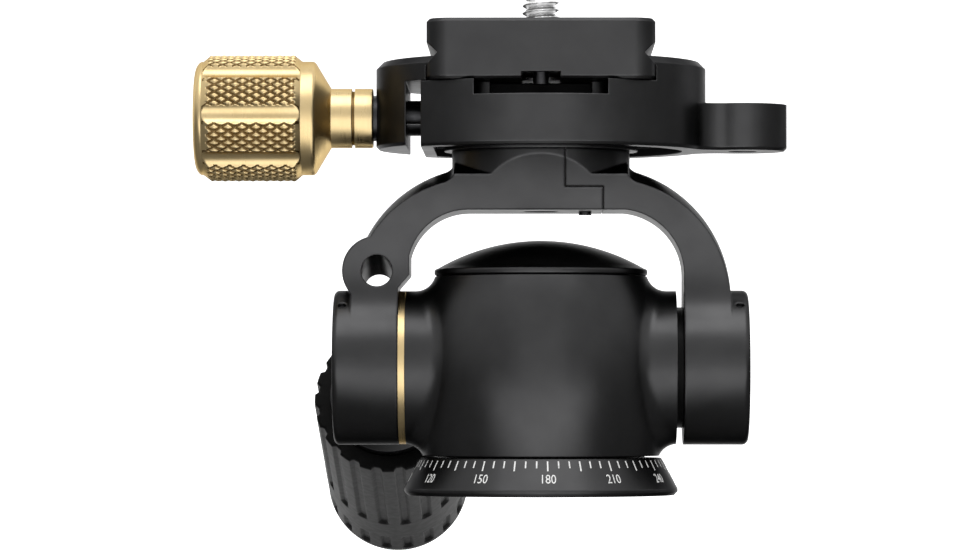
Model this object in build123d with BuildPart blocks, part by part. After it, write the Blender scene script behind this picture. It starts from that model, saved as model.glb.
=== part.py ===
from build123d import *
from math import asin, atan2, cos, degrees, pi, radians, sin, sqrt
import os

# Tripod pan head with a quick-release clamp, in millimetres.
# The origin is the centre of the base's bottom face, +Z is the pan axis,
# X is the tilt axis and the front of the head looks along -Y.

# Fits shared by all pieces
running_gap = 0.05
face_gap = 0.05
press_gap = 0.02
motion_gap = 0.3
overrun = 3.0
hex_sides = 6

# Spindle with the tripod thread
tripod_thread_radius = 3.97
tripod_thread_depth = 9.5
spindle_radius = 7.0
spindle_step_width = 1.0
spindle_shoulder_inset = 0.35
spindle_thread_proud = 0.25
spindle_flange_width = 5.0
spindle_flange_thickness = 3.0
base_screw_count = 4
base_screw_radius = 1.25
base_screw_head_margin = 0.3
base_screw_head_height = 1.2
base_screw_cover = 0.8

# Base ring, fixed to the tripod
base_height = 6.3
base_ledge_width = 0.4
base_flare_width = 2.8
base_rim_height = 1.1
base_foot_chamfer = 0.6

# Friction washer between base and body
pan_gap = 0.35
pan_washer_recess = 0.7
pan_washer_bore_gap = 0.95
pan_washer_margin = 2.8

# Pan bearing stack
bush_wall = 1.0
bush_flange_width = 2.45
bush_flange_thickness = 0.8
thrust_washer_overhang = 0.5
thrust_washer_thickness = 0.7
spring_washer_inset = 0.2
spring_washer_bore_gap = 0.5
spring_washer_rise = 0.9
spring_washer_thickness = 0.5
nut_inset = 0.8
nut_height = 2.3
nut_slot_width = 2.4
nut_slot_depth = 1.4
nut_slot_count = 4

# Body housing
body_floor_thickness = 3.4
body_cavity_gap = 2.2
body_top_wall = 3.5
body_top_margin = 2.43
body_flare_width = 2.0
body_bulge_depth = 2.6
boss_inset = 0.1
boss_proud = 2.9
boss_fillet = 3.4

# Domed cap
cap_gap = 0.15
cap_rim_overhang = 0.1
cap_rim_height = 1.15
cap_rim_fillet = 0.45
cap_rim_chamfer = 0.25
dome_rise = 4.82
cap_shell = 1.8
cap_plug_depth = 4.4
cap_plug_wall = 2.0
cap_seat_ledge_width = 1.3
cap_seal_thickness = 0.65

# Tilt axle and hubs
axle_radius = 4.5
axle_headroom = 1.6
drum_step_width = 2.5
hub_wall = 3.1
hub_length = 11.0
hub_corner_fillet = 1.0
hub_counterbore_margin = 1.0
friction_ring_thickness = 1.15
spacer_inset = 2.85
axle_grub_radius = 1.5
axle_grub_length = 6.0
axle_grub_inset = 4.9
end_washer_margin = 2.0
end_washer_thickness = 0.8
end_screw_radius = 2.0
end_screw_length = 8.0
end_screw_head_radius = 3.4
end_screw_head_height = 1.1
end_screw_headroom = 0.15
end_screw_socket_across = 2.5
end_screw_socket_depth = 0.8
hub_cap_thickness = 2.2
hub_cap_inset = 0.2
hub_cap_chamfer = 0.3
spanner_circle_radius = 6.0
spanner_hole_radius = 0.8
spanner_hole_depth = 1.2
hub_grub_radius = 0.7
hub_grub_angle = 53.0
hub_grub_edge_width = 1.6
hub_grub_inset = 0.5

# Yoke, outside of its arch
arm_inset = 3.0
crest_bow_inset = 5.9
crest_bow_drop = 6.2
crest_shoulder_inset = 15.8
arch_thickness = 6.6
neck_height = 3.6
neck_ledge_width = 1.2
neck_blend_width = 1.7
waist_half_width = 7.6
waist_fillet_radius = 11.0
flank_bow_radius = 31.5

# Yoke, window of its arch
window_clearance = 4.95
window_left_step_width = 1.9
window_left_bow_width = 3.0
window_left_bow_drop = 2.7
window_left_bend_width = 9.8
window_left_bend_drop = 7.7
window_right_bow_width = 2.9
window_right_bow_drop = 3.5
window_right_bend_width = 10.0
window_right_bend_drop = 10.5
hub_step_rise = 2.2

# Half-lap joint between the two arms
lap_wall = 1.0
lap_length = 6.4
lap_thickness = 3.8
lap_gap = 0.1
lap_screw_inset = 2.9
lap_screw_radius = 1.1
lap_screw_length = 8.0
lap_screw_proud = 0.6

# Lobe with the tether hole on the left arm
lobe_inset = 4.4
lobe_rise = 3.2
lobe_radius = 5.85
tether_radius = 2.6
tether_slope = 11.0

# Clamp base with its fixed jaw and ear
seat_rise = 10.85
dovetail_gap = 0.15
dovetail_foot_rise = 2.5
dovetail_lip_height = 1.65
clamp_flat_margin = 0.85
rim_chamfer = 1.1
clamp_edge_chamfer = 0.5
ear_reach = 6.3
ear_radius = 7.5
ear_thickness = 7.9
ear_hole_radius = 2.45
ear_blend = 4.0
pocket_width = 22.2
pocket_depth = 2.55
pocket_step_length = 5.5
pocket_fillet = 3.0
channel_width = 17.0
well_radius = 8.5
well_floor_thickness = 3.3
under_recess_depth = 1.5
under_recess_inner_margin = 1.3
under_recess_outer_margin = 4.0
under_recess_flat_margin = 2.0
bolt_radius = 3.0
bolt_head_radius = 4.6
bolt_head_height = 3.0
bolt_socket_across = 4.0
bolt_socket_depth = 1.8
bolt_tip_inset = 1.2
dowel_radius = 1.5
dowel_inset = 3.6
dowel_length = 5.0

# Moving jaw with its screw and guide pins
jaw_opening = 2.6
jaw_thickness = 5.4
jaw_bottom_gap = 0.3
jaw_lip_gap = 0.15
clamp_screw_rise = 5.7
clamp_screw_radius = 3.0
clamp_screw_gap = 0.1
clamp_screw_reach = 10.0
clamp_screw_grip = 16.5
clamp_screw_chamfer = 0.6
clamp_screw_tip_gap = 0.5
guide_radius = 1.6
guide_place = 10.0
guide_reach = 8.0
guide_press_length = 2.4
spring_length = 5.0
spring_radius = 1.45
spring_wire_radius = 0.25
spring_pitch = 1.1
knob_seat_inset = 0.3
knob_seat_radius = 4.2
collar_radius = 3.9
collar_length = 0.8

# Knurled knob
knob_rim_radius = 9.7
knob_rim_length = 1.3
knob_rim_land = 0.2
knob_dish_radius = 7.4
knob_dish_depth = 0.5
knurl_height = 0.9
knurl_length = 17.0
knob_shoulder_length = 2.5
knob_cone_length = 2.4
knob_neck_length = 7.1
knob_neck_radius = 5.05
knob_groove_place = 3.1
knob_groove_width = 0.5
knob_groove_depth = 0.5
flute_count = 8
flute_radius = 2.2
flute_depth = 0.75
flute_turn = 2.0

# Quick-release plate
plate_half_length = 25.0
plate_half_width = 19.0
plate_thickness = 10.1
plate_corner_radius = 3.8
plate_notch_depth = 1.8
plate_notch_flat = 0.1
plate_bevel_gap = 0.07
plate_edge_chamfer = 0.5
plate_slot_reach = 1.35
plate_slot_gap = 0.075
plate_groove_depth = 1.2
plate_recess_margin = 1.3
plate_travel = 7.5
pad_margin = 1.3
pad_end_margin = 5.0
pad_width = 8.0
pad_corner_radius = 0.8
pad_recess = 0.7
pad_proud = 0.3
stop_gap = 0.2
stop_screw_radius = 1.3
stop_screw_inset = 3.5
stop_screw_drop = 0.8
stop_screw_length = 4.6
camera_screw_radius = 3.175
camera_screw_proud = 5.1
camera_screw_chamfer = 0.6
camera_shank_radius = 2.5
camera_head_radius = 7.6
camera_head_inset = 0.8
camera_head_height = 3.2
camera_head_play = 0.2
camera_slot_width = 1.6
camera_slot_depth = 1.2
camera_washer_radius = 6.5
camera_washer_thickness = 0.6

# Pan handle, its rod leaves the back of the left hub
handle_inset = 3.5
handle_rise = 1.86
handle_slope = 14.6
handle_boss_radius = 5.0
jam_nut_across = 8.0
jam_nut_thickness = 2.7
rod_radius = 3.5
rod_grip_length = 42.4
stud_radius = 2.4
stud_gap = 0.1
lock_bore_radius = 2.5
lock_bore_margin = 0.6
shoe_outer_reach = 4.3
shoe_inner_reach = 3.6
shoe_scallop_gap = 0.15
shoe_scallop_lead = 0.1
grip_start = 55.6
grip_radius = 13.47
grip_wall = 2.97
grip_mouth_fillet = 0.6
grip_end_fillet = 8.0
grip_end_margin = 0.7
grip_end_wall = 4.0
groove_width = 1.85
groove_depth = 0.8
groove_count = 20
groove_turn = 9.0
first_row_length = 42.7
second_row_length = 9.3
row_gap = 10.3
ferrule_neck_radius = 4.6
ferrule_neck_reach = 9.6
ferrule_cone_length = 6.5
ferrule_tail = 1.5

os.makedirs("parts", exist_ok=True)

UPWARD = (Align.CENTER, Align.CENTER, Align.MIN)

# Radii about the pan axis, from the spindle out
spindle_thread_radius = spindle_radius - spindle_step_width
spindle_flange_radius = spindle_radius + spindle_flange_width
base_screw_circle_radius = spindle_radius + spindle_flange_width / 2
base_screw_head_radius = spindle_flange_width / 2 - base_screw_head_margin
bush_outer_radius = spindle_radius + running_gap + bush_wall
bush_flange_radius = bush_outer_radius + bush_flange_width
thrust_washer_radius = bush_flange_radius + thrust_washer_overhang
spring_washer_outer_radius = thrust_washer_radius - spring_washer_inset
spring_washer_inner_radius = spindle_thread_radius + spring_washer_bore_gap
nut_radius = thrust_washer_radius - nut_inset
body_cavity_radius = thrust_washer_radius + body_cavity_gap
cap_seat_radius = body_cavity_radius + cap_seat_ledge_width
cap_plug_radius = cap_seat_radius - running_gap
body_top_radius = cap_seat_radius + body_top_wall
body_bottom_radius = body_top_radius + body_flare_width
cap_rim_radius = body_top_radius + cap_rim_overhang
base_top_radius = body_bottom_radius + base_ledge_width
base_rim_radius = base_top_radius + base_flare_width
pan_washer_inner_radius = bush_outer_radius + pan_washer_bore_gap
pan_washer_outer_radius = base_top_radius - pan_washer_margin

# Radii about the tilt axis, from the axle out
drum_radius = axle_radius + drum_step_width
hub_bore_radius = drum_radius + running_gap
end_washer_radius = drum_radius + end_washer_margin
hub_counterbore_radius = end_washer_radius + hub_counterbore_margin
hub_radius = hub_counterbore_radius + hub_wall
boss_radius = hub_radius - boss_inset
spacer_radius = hub_radius - spacer_inset

# Heights of the base, the pan bearing and the tilt axis
body_bottom = base_height + pan_gap
pan_washer_bottom = base_height - pan_washer_recess
base_screw_length = pan_washer_bottom - base_screw_cover
body_floor_top = body_bottom + body_floor_thickness
bush_flange_top = body_floor_top + bush_flange_thickness
thrust_washer_top = bush_flange_top + thrust_washer_thickness
spring_washer_top = thrust_washer_top + spring_washer_rise + spring_washer_thickness
spindle_shoulder_height = thrust_washer_top - spindle_shoulder_inset
spindle_height = spring_washer_top + nut_height + spindle_thread_proud
tilt_height = spindle_height + axle_headroom + axle_radius

# Heights of the body and its cap
body_top = tilt_height + boss_radius + body_top_margin
body_blank_top = max(body_top, tilt_height + boss_radius + boss_fillet) + overrun
body_blank_bottom = min(body_bottom, tilt_height - boss_radius - boss_fillet) - overrun
cap_bottom = body_top + cap_gap
cap_rim_top = cap_bottom + cap_rim_height
dome_top = cap_rim_top + dome_rise
cap_plug_bottom = cap_bottom - cap_plug_depth
cap_seat_bottom = cap_plug_bottom - cap_seal_thickness

# Places along the tilt axis
boss_reach = body_bottom_radius + boss_proud
hub_inner = boss_reach + friction_ring_thickness + face_gap
hub_outer = hub_inner + hub_length
hub_cap_place = hub_outer - hub_cap_inset - hub_cap_thickness
end_screw_place = hub_cap_place - end_screw_headroom - end_screw_head_height
end_washer_place = end_screw_place - end_washer_thickness
hub_floor = end_washer_place - face_gap
hub_grub_place = hub_outer - hub_grub_edge_width
axle_grub_place = boss_reach - axle_grub_inset

# Outline of the yoke, as reaches to each side and heights
arm_outer = hub_outer - arm_inset
crest_bow = arm_outer - crest_bow_inset
crest_shoulder = arm_outer - crest_shoulder_inset
neck_radius = crest_shoulder - neck_ledge_width
arch_underside = dome_top + window_clearance
crest_shoulder_height = arch_underside + arch_thickness
crest_bow_height = crest_shoulder_height - crest_bow_drop
clamp_bottom = crest_shoulder_height + neck_height
window_left_step = hub_inner - window_left_step_width
window_left_bow = window_left_step - window_left_bow_width
window_left_bend = window_left_step - window_left_bend_width
window_right_bow = hub_inner - window_right_bow_width
window_right_bend = hub_inner - window_right_bend_width
hub_step_height = tilt_height + hub_radius + motion_gap

# The yoke's flanks, each a foot fillet and a bow
waist_reach = hub_radius + waist_fillet_radius
waist_offset = waist_half_width + waist_fillet_radius
waist_rise = sqrt(waist_reach**2 - waist_offset**2)
waist_turn = degrees(atan2(waist_rise, waist_offset))
flank_top = clamp_bottom - tilt_height
flank_turn = degrees(asin((flank_top - waist_rise) / flank_bow_radius))

# The half-lap and the tether lobe
lap_upper = bolt_radius + lap_wall
lap_lower = lap_upper + lap_length
lap_height = arch_underside + lap_thickness
lap_screw_place = lap_lower - lap_screw_inset
lap_screw_bottom = arch_underside - lap_screw_proud
lobe_place = arm_outer - lobe_inset
lobe_height = tilt_height + hub_radius + lobe_rise

# Heights of the clamp
seat_height = clamp_bottom + seat_rise
dovetail_foot_height = seat_height + dovetail_foot_rise
jaw_top = dovetail_foot_height + dovetail_lip_height
ear_top = clamp_bottom + ear_thickness
pocket_floor = seat_height - pocket_depth
well_floor = clamp_bottom + well_floor_thickness
clamp_screw_height = clamp_bottom + clamp_screw_rise
jaw_bottom = clamp_bottom + jaw_bottom_gap
jaw_lip_bottom = seat_height + jaw_lip_gap

# Widths of the clamp and its dovetail
dovetail_half = plate_half_width + dovetail_gap
dovetail_lip_half = dovetail_half - dovetail_lip_height
clamp_flat = dovetail_half + clamp_flat_margin
jaw_inner = clamp_flat + jaw_opening
clamp_radius = jaw_inner + jaw_thickness
ear_place = clamp_radius + ear_reach
under_recess_inner_radius = neck_radius + under_recess_inner_margin
under_recess_outer_radius = clamp_radius - under_recess_outer_margin
under_recess_flat = clamp_flat - under_recess_flat_margin
dowel_place = neck_radius - dowel_inset
dowel_bottom = clamp_bottom - dowel_length / 2

# Places along the clamp screw, as reaches to the left
clamp_screw_tip = clamp_flat - clamp_screw_reach
guide_inner = clamp_flat - guide_reach
guide_outer = jaw_inner + guide_press_length
spring_seat = guide_inner - spring_length
knob_seat = clamp_radius - knob_seat_inset
knob_base = knob_seat + collar_length
knob_groove = knob_base + knob_groove_place
knob_neck = knob_base + knob_neck_length
knob_cone = knob_neck + knob_cone_length
knurl_inner = knob_cone + knob_shoulder_length
knurl_outer = knurl_inner + knurl_length
knob_end = knurl_outer + knob_rim_length
knob_rim_fillet = knob_rim_length - knob_rim_land
knurl_radius = knob_rim_radius + knurl_height
clamp_screw_head = knob_base + clamp_screw_grip

# Heights and places of the plate and the camera screw
plate_bottom = seat_height + face_gap
plate_top = plate_bottom + plate_thickness
plate_notch_half = plate_half_width - plate_notch_depth
plate_bevel_top = dovetail_foot_height + dovetail_half - plate_notch_half - plate_bevel_gap
plate_slot_width = 2 * (camera_screw_radius + plate_slot_gap)
plate_recess_radius = camera_head_radius + plate_recess_margin
camera_head_bottom = plate_bottom + camera_head_inset
camera_washer_bottom = camera_head_bottom + camera_head_height
plate_recess_top = camera_washer_bottom + camera_washer_thickness + camera_head_play
camera_thread_bottom = plate_top + face_gap
camera_screw_top = plate_top + camera_screw_proud
pad_place = plate_half_width - pad_margin - pad_width / 2
pad_length = 2 * (plate_half_length - pad_end_margin)
stop_screw_place = plate_half_length - stop_screw_inset
stop_screw_bottom = plate_bottom - stop_screw_drop
channel_reach = stop_screw_place - plate_travel - stop_screw_radius - stop_gap
pocket_reach = channel_reach + pocket_step_length

# Places along the handle, from the foot of its normal on the tilt axis
handle_place = hub_inner + handle_inset
handle_offset = drum_radius + handle_rise
jam_nut_corner = jam_nut_across / 2 / cos(pi / hex_sides)
handle_seat = sqrt((hub_radius + motion_gap) ** 2 - (handle_offset - jam_nut_corner) ** 2)
rod_start = handle_seat + face_gap + jam_nut_thickness
stud_end = shoe_outer_reach + stud_gap
lock_bore_end = shoe_inner_reach + lock_bore_margin
ferrule_radius = grip_radius - grip_wall
ferrule_start = grip_start - ferrule_neck_reach
ferrule_cone_end = ferrule_start + ferrule_cone_length
second_row_start = first_row_length + row_gap
grip_length = second_row_start + second_row_length + grip_end_margin + grip_end_fillet
core_start = grip_start + ferrule_tail
core_end = grip_start + grip_length - grip_end_wall - face_gap
rod_end = grip_start + rod_grip_length

handle_tilt = radians(handle_slope)
handle_direction = Vector(0, cos(handle_tilt), -sin(handle_tilt))
handle_normal = Vector(0, sin(handle_tilt), cos(handle_tilt))
handle_origin = Vector(-handle_place, 0, tilt_height) + handle_normal * handle_offset
handle_plane = Plane(origin=handle_origin, x_dir=(1, 0, 0), z_dir=handle_direction)
handle_side = Plane(origin=handle_origin, x_dir=handle_direction, z_dir=(1, 0, 0))
handle_axis = Axis(handle_origin, handle_direction)
tilt_axis = Axis((0, 0, tilt_height), (1, 0, 0))
clamp_screw_axis = Axis((0, 0, clamp_screw_height), (1, 0, 0))


def level(height):
    """Plane across the pan axis."""
    return Plane.XY.offset(height)


def across(place, side=1, y=0, z=tilt_height):
    """Plane across the X axis that faces away from the middle on one side."""
    return Plane(origin=(side * place, y, z), x_dir=(0, 1, 0), z_dir=(side, 0, 0))


def to_rear(x, y, z, slope=0):
    """Plane that faces the rear, turned down by the slope."""
    down = radians(slope)
    return Plane(origin=(x, y, z), x_dir=(1, 0, 0), z_dir=(0, cos(down), -sin(down)))


def disc(plane, radius, length, mode=Mode.ADD):
    """Round bar, or with Mode.SUBTRACT a round bore."""
    with BuildSketch(plane) as outline:
        Circle(radius)
    extrude(outline.sketch, amount=length, mode=mode)


def ring(plane, outer_radius, inner_radius, length):
    """Round ring or tube."""
    with BuildSketch(plane) as outline:
        Circle(outer_radius)
        Circle(inner_radius, mode=Mode.SUBTRACT)
    extrude(outline.sketch, amount=length)


def turned(plane, points, axis):
    """Solid of revolution from the corners of its half section."""
    with BuildSketch(plane) as outline:
        with BuildLine():
            Polyline(*points, close=True)
        make_face()
    revolve(outline.sketch, axis=axis)


def turned_on_handle(points):
    """Solid turned about the handle's axis, from distances along it and radii."""
    turned(handle_side, points, handle_axis)


def keep(builder, label):
    """Name a finished piece and write it as its own file."""
    builder.part.label = label
    export_step(builder.part, f"parts/{label}.step")


# Base ring with its flared scale band
with BuildPart() as base_ring:
    turned(
        Plane.XZ,
        [
            (spindle_flange_radius + running_gap, 0),
            (base_rim_radius - base_foot_chamfer, 0),
            (base_rim_radius, base_foot_chamfer),
            (base_rim_radius, base_rim_height),
            (base_top_radius, base_height),
            (pan_washer_outer_radius + running_gap, base_height),
            (pan_washer_outer_radius + running_gap, pan_washer_bottom),
            (spindle_radius + press_gap, pan_washer_bottom),
            (spindle_radius + press_gap, spindle_flange_thickness),
            (spindle_flange_radius + running_gap, spindle_flange_thickness),
        ],
        Axis.Z,
    )
    with BuildSketch(level(spindle_flange_thickness)):
        with PolarLocations(base_screw_circle_radius, base_screw_count):
            Circle(base_screw_radius + press_gap)
    extrude(amount=base_screw_length - spindle_flange_thickness, mode=Mode.SUBTRACT)
keep(base_ring, "base_ring")

# Spindle: flange, bearing shank and nut thread, bored from below for the tripod screw
with BuildPart() as pan_spindle:
    disc(Plane.XY, spindle_flange_radius, spindle_flange_thickness)
    disc(Plane.XY, spindle_radius, spindle_shoulder_height)
    disc(level(spindle_shoulder_height), spindle_thread_radius, spindle_height - spindle_shoulder_height)
    disc(Plane.XY, tripod_thread_radius, tripod_thread_depth, Mode.SUBTRACT)
    with PolarLocations(base_screw_circle_radius, base_screw_count):
        Cone(
            base_screw_head_radius + press_gap,
            base_screw_radius + press_gap,
            base_screw_head_height,
            align=UPWARD,
            mode=Mode.SUBTRACT,
        )
        Cylinder(
            base_screw_radius + press_gap,
            spindle_flange_thickness,
            align=UPWARD,
            mode=Mode.SUBTRACT,
        )
keep(pan_spindle, "pan_spindle")

# Countersunk screws through the spindle's flange
with BuildPart() as base_screws:
    with PolarLocations(base_screw_circle_radius, base_screw_count):
        Cone(base_screw_head_radius, base_screw_radius, base_screw_head_height, align=UPWARD)
        Cylinder(base_screw_radius, base_screw_length, align=UPWARD)
keep(base_screws, "base_screws")

# Friction washer, sunk in the base ring's top
with BuildPart() as pan_friction_washer:
    ring(
        level(pan_washer_bottom),
        pan_washer_outer_radius,
        pan_washer_inner_radius,
        body_bottom - pan_washer_bottom,
    )
keep(pan_friction_washer, "pan_friction_washer")

# Body housing: bulged barrel with two tilt bosses, trimmed flat after the fillets
with BuildPart() as body_housing:
    with BuildSketch(Plane.XZ):
        with BuildLine():
            bulge = ThreePointArc(
                (body_bottom_radius, body_bottom),
                (
                    (body_bottom_radius + body_top_radius) / 2 + body_bulge_depth,
                    (body_bottom + body_top) / 2,
                ),
                (body_top_radius, body_top),
                mode=Mode.PRIVATE,
            )
            centre = bulge.arc_center
            low_turn = degrees(asin((body_blank_bottom - centre.Y) / bulge.radius))
            high_turn = degrees(asin((body_blank_top - centre.Y) / bulge.radius))
            wall = CenterArc(centre, bulge.radius, low_turn, high_turn - low_turn)
            Polyline(wall @ 1, (0, body_blank_top), (0, body_blank_bottom), wall @ 0)
        make_face()
    revolve(axis=Axis.Z)
    before_bosses = edges()
    boss_end = boss_reach + boss_fillet
    disc(across(-boss_end), boss_radius, 2 * boss_end)
    boss_roots = [
        edge
        for edge in edges() - before_bosses
        if abs(edge.center(CenterOf.BOUNDING_BOX).X) < boss_reach
    ]
    fillet(boss_roots, boss_fillet)
    for side in (-1, 1):
        disc(across(boss_reach, side), hub_outer, boss_fillet, Mode.SUBTRACT)
    disc(level(body_top), hub_outer, body_blank_top - body_top, Mode.SUBTRACT)
    disc(level(body_blank_bottom), hub_outer, body_bottom - body_blank_bottom, Mode.SUBTRACT)
    disc(level(body_floor_top), body_cavity_radius, body_top - body_floor_top, Mode.SUBTRACT)
    disc(level(cap_seat_bottom), cap_seat_radius, body_top - cap_seat_bottom, Mode.SUBTRACT)
    disc(level(body_bottom), bush_outer_radius + press_gap, body_floor_thickness, Mode.SUBTRACT)
    disc(across(-boss_reach), axle_radius + press_gap, 2 * boss_reach, Mode.SUBTRACT)
    disc(to_rear(axle_grub_place, 0, tilt_height), axle_grub_radius + press_gap, boss_radius, Mode.SUBTRACT)
keep(body_housing, "body_housing")

# Flanged bush between spindle and body
with BuildPart() as pan_bush:
    ring(
        level(body_bottom + face_gap),
        bush_outer_radius,
        spindle_radius + running_gap,
        body_floor_thickness - face_gap,
    )
    ring(level(body_floor_top), bush_flange_radius, spindle_radius + running_gap, bush_flange_thickness)
keep(pan_bush, "pan_bush")

# Thrust washer on the bush
with BuildPart() as pan_thrust_washer:
    ring(
        level(bush_flange_top),
        thrust_washer_radius,
        spindle_radius + running_gap,
        thrust_washer_thickness,
    )
keep(pan_thrust_washer, "pan_thrust_washer")

# Conical spring washer
with BuildPart() as pan_spring_washer:
    turned(
        Plane.XZ,
        [
            (spring_washer_outer_radius, thrust_washer_top),
            (spring_washer_outer_radius, thrust_washer_top + spring_washer_thickness),
            (spring_washer_inner_radius, spring_washer_top),
            (spring_washer_inner_radius, spring_washer_top - spring_washer_thickness),
        ],
        Axis.Z,
    )
keep(pan_spring_washer, "pan_spring_washer")

# Slotted preload nut
with BuildPart() as pan_preload_nut:
    ring(level(spring_washer_top), nut_radius, spindle_thread_radius + press_gap, nut_height)
    with BuildSketch(level(spring_washer_top)):
        with PolarLocations(nut_radius, nut_slot_count):
            Rectangle(2 * nut_slot_depth, nut_slot_width)
    extrude(amount=nut_height, mode=Mode.SUBTRACT)
keep(pan_preload_nut, "pan_preload_nut")

# Domed cap: thin rim, round dome and a plug that seats in the body
with BuildPart() as dome_cap:
    with BuildSketch(Plane.XZ):
        with BuildLine():
            dome = TangentArc(
                (0, dome_top),
                (cap_rim_radius - cap_rim_fillet, cap_rim_top),
                tangent=(1, 0),
            )
            rim = RadiusArc(
                dome @ 1,
                (cap_rim_radius, cap_rim_top - cap_rim_fillet),
                cap_rim_fillet,
            )
            Polyline(
                rim @ 1,
                (cap_rim_radius, cap_bottom + cap_rim_chamfer),
                (cap_rim_radius - cap_rim_chamfer, cap_bottom),
                (cap_plug_radius, cap_bottom),
                (cap_plug_radius, cap_plug_bottom),
                (cap_plug_radius - cap_plug_wall, cap_plug_bottom),
                (cap_plug_radius - cap_plug_wall, cap_rim_top - cap_rim_fillet),
                (0, dome_top - cap_shell),
                dome @ 0,
            )
        make_face()
    revolve(axis=Axis.Z)
keep(dome_cap, "dome_cap")

# Flat seal between the cap's plug and the body
with BuildPart() as cap_seal_ring:
    ring(
        level(cap_seat_bottom),
        cap_plug_radius,
        body_cavity_radius + running_gap,
        cap_seal_thickness,
    )
keep(cap_seal_ring, "cap_seal_ring")

# Tilt axle with the brake drum in the left hub
with BuildPart() as tilt_axle:
    turned(
        Plane.XZ,
        [
            (-hub_floor, tilt_height),
            (-hub_floor, tilt_height + drum_radius),
            (-hub_inner, tilt_height + drum_radius),
            (-hub_inner, tilt_height + axle_radius),
            (hub_floor, tilt_height + axle_radius),
            (hub_floor, tilt_height),
        ],
        tilt_axis,
    )
    for side in (-1, 1):
        disc(
            across(end_screw_place - end_screw_length, side),
            end_screw_radius + press_gap,
            end_screw_length,
            Mode.SUBTRACT,
        )
keep(tilt_axle, "tilt_axle")

# Grub screw that pins the axle in the body
with BuildPart() as axle_grub_screw:
    disc(to_rear(axle_grub_place, axle_radius + face_gap, tilt_height), axle_grub_radius, axle_grub_length)
keep(axle_grub_screw, "axle_grub_screw")

# Gold friction ring between the body and the left hub
with BuildPart() as friction_ring:
    ring(across(boss_reach, -1), boss_radius, axle_radius + running_gap, friction_ring_thickness)
keep(friction_ring, "friction_ring")

# Smaller spacer between the body and the right hub
with BuildPart() as spacer_washer:
    ring(across(boss_reach), spacer_radius, axle_radius + running_gap, friction_ring_thickness)
keep(spacer_washer, "spacer_washer")

# Washers that hold both hubs on the axle
with BuildPart() as axle_end_washers:
    for side in (-1, 1):
        ring(
            across(end_washer_place, side),
            end_washer_radius,
            end_screw_radius + running_gap,
            end_washer_thickness,
        )
keep(axle_end_washers, "axle_end_washers")

# Socket screws in the ends of the axle
with BuildPart() as axle_end_screws:
    for side in (-1, 1):
        disc(across(end_screw_place, side), end_screw_head_radius, end_screw_head_height)
        disc(across(end_screw_place - end_screw_length, side), end_screw_radius, end_screw_length)
        head_face = across(end_screw_place + end_screw_head_height - end_screw_socket_depth, side)
        with BuildSketch(head_face) as socket:
            RegularPolygon(end_screw_socket_across / 2, hex_sides, major_radius=False)
        extrude(socket.sketch, amount=end_screw_socket_depth, mode=Mode.SUBTRACT)
keep(axle_end_screws, "axle_end_screws")

# Whole yoke before it is parted: an arch turned about the tilt axis, trimmed by
# waisted flanks, with the clamp's neck, the tether lobe and the two hubs
with BuildPart() as yoke_blank:
    with BuildSketch(Plane.XZ):
        with BuildLine():
            for side in (-1, 1):
                Line((side * arm_outer, tilt_height), (side * arm_outer, tilt_height + hub_radius))
                crest = ThreePointArc(
                    (side * arm_outer, tilt_height + hub_radius),
                    (side * crest_bow, crest_bow_height),
                    (side * crest_shoulder, crest_shoulder_height),
                )
                TangentArc(
                    crest @ 1,
                    (side * (crest_shoulder - neck_blend_width), crest_shoulder_height + neck_blend_width),
                    tangent=crest % 1,
                )
            Line(
                (neck_blend_width - crest_shoulder, crest_shoulder_height + neck_blend_width),
                (crest_shoulder - neck_blend_width, crest_shoulder_height + neck_blend_width),
            )
            Line((-arm_outer, tilt_height), (arm_outer, tilt_height))
        make_face()
    revolve(axis=tilt_axis)
    disc(level(arch_underside), neck_radius, clamp_bottom - arch_underside)
    disc(to_rear(-lobe_place, -hub_radius, lobe_height), lobe_radius, 2 * hub_radius)
    with BuildSketch(across(-hub_outer)):
        with BuildLine():
            foot = CenterArc((waist_offset, waist_rise), waist_fillet_radius, 180, waist_turn)
            flank_centre = (waist_half_width + flank_bow_radius, waist_rise)
            flank = CenterArc(flank_centre, flank_bow_radius, 180, -flank_turn)
            Line(foot @ 1, (0, 0))
            Line(flank @ 1, (0, flank_top))
            mirror(about=Plane.YZ)
        make_face()
    extrude(amount=2 * hub_outer, mode=Mode.INTERSECT)
    with BuildSketch(Plane.XZ):
        with BuildLine():
            Line((window_right_bend, arch_underside), (-window_left_bend, arch_underside))
            left_bow = ThreePointArc(
                (-window_left_bend, arch_underside),
                (-window_left_bow, arch_underside - window_left_bow_drop),
                (-window_left_step, arch_underside - window_left_bend_drop),
            )
            Polyline(
                left_bow @ 1,
                (-window_left_step, hub_step_height + hub_step_rise),
                (-hub_inner, hub_step_height),
                (-hub_inner, -overrun),
                (hub_inner, -overrun),
                (hub_inner, arch_underside - window_right_bend_drop),
            )
            ThreePointArc(
                (hub_inner, arch_underside - window_right_bend_drop),
                (window_right_bow, arch_underside - window_right_bow_drop),
                (window_right_bend, arch_underside),
            )
        make_face()
    extrude(amount=hub_outer, both=True, mode=Mode.SUBTRACT)
    for side in (-1, 1):
        disc(across(hub_inner, side), hub_radius, hub_outer - hub_inner)
    fillet(edges().filter_by_position(Axis.X, hub_outer - face_gap, hub_outer + face_gap), hub_corner_fillet)
    fillet(edges().filter_by_position(Axis.X, -hub_outer - face_gap, face_gap - hub_outer), hub_corner_fillet)


def right_of_seam(gap):
    """Outline of everything right of the half-lap seam, a gap away from it."""
    return [
        (lap_upper + gap, clamp_bottom + overrun),
        (lap_upper + gap, lap_height + gap),
        (lap_lower + gap, lap_height + gap),
        (lap_lower + gap, -overrun),
        (hub_outer + overrun, -overrun),
        (hub_outer + overrun, clamp_bottom + overrun),
    ]


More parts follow.
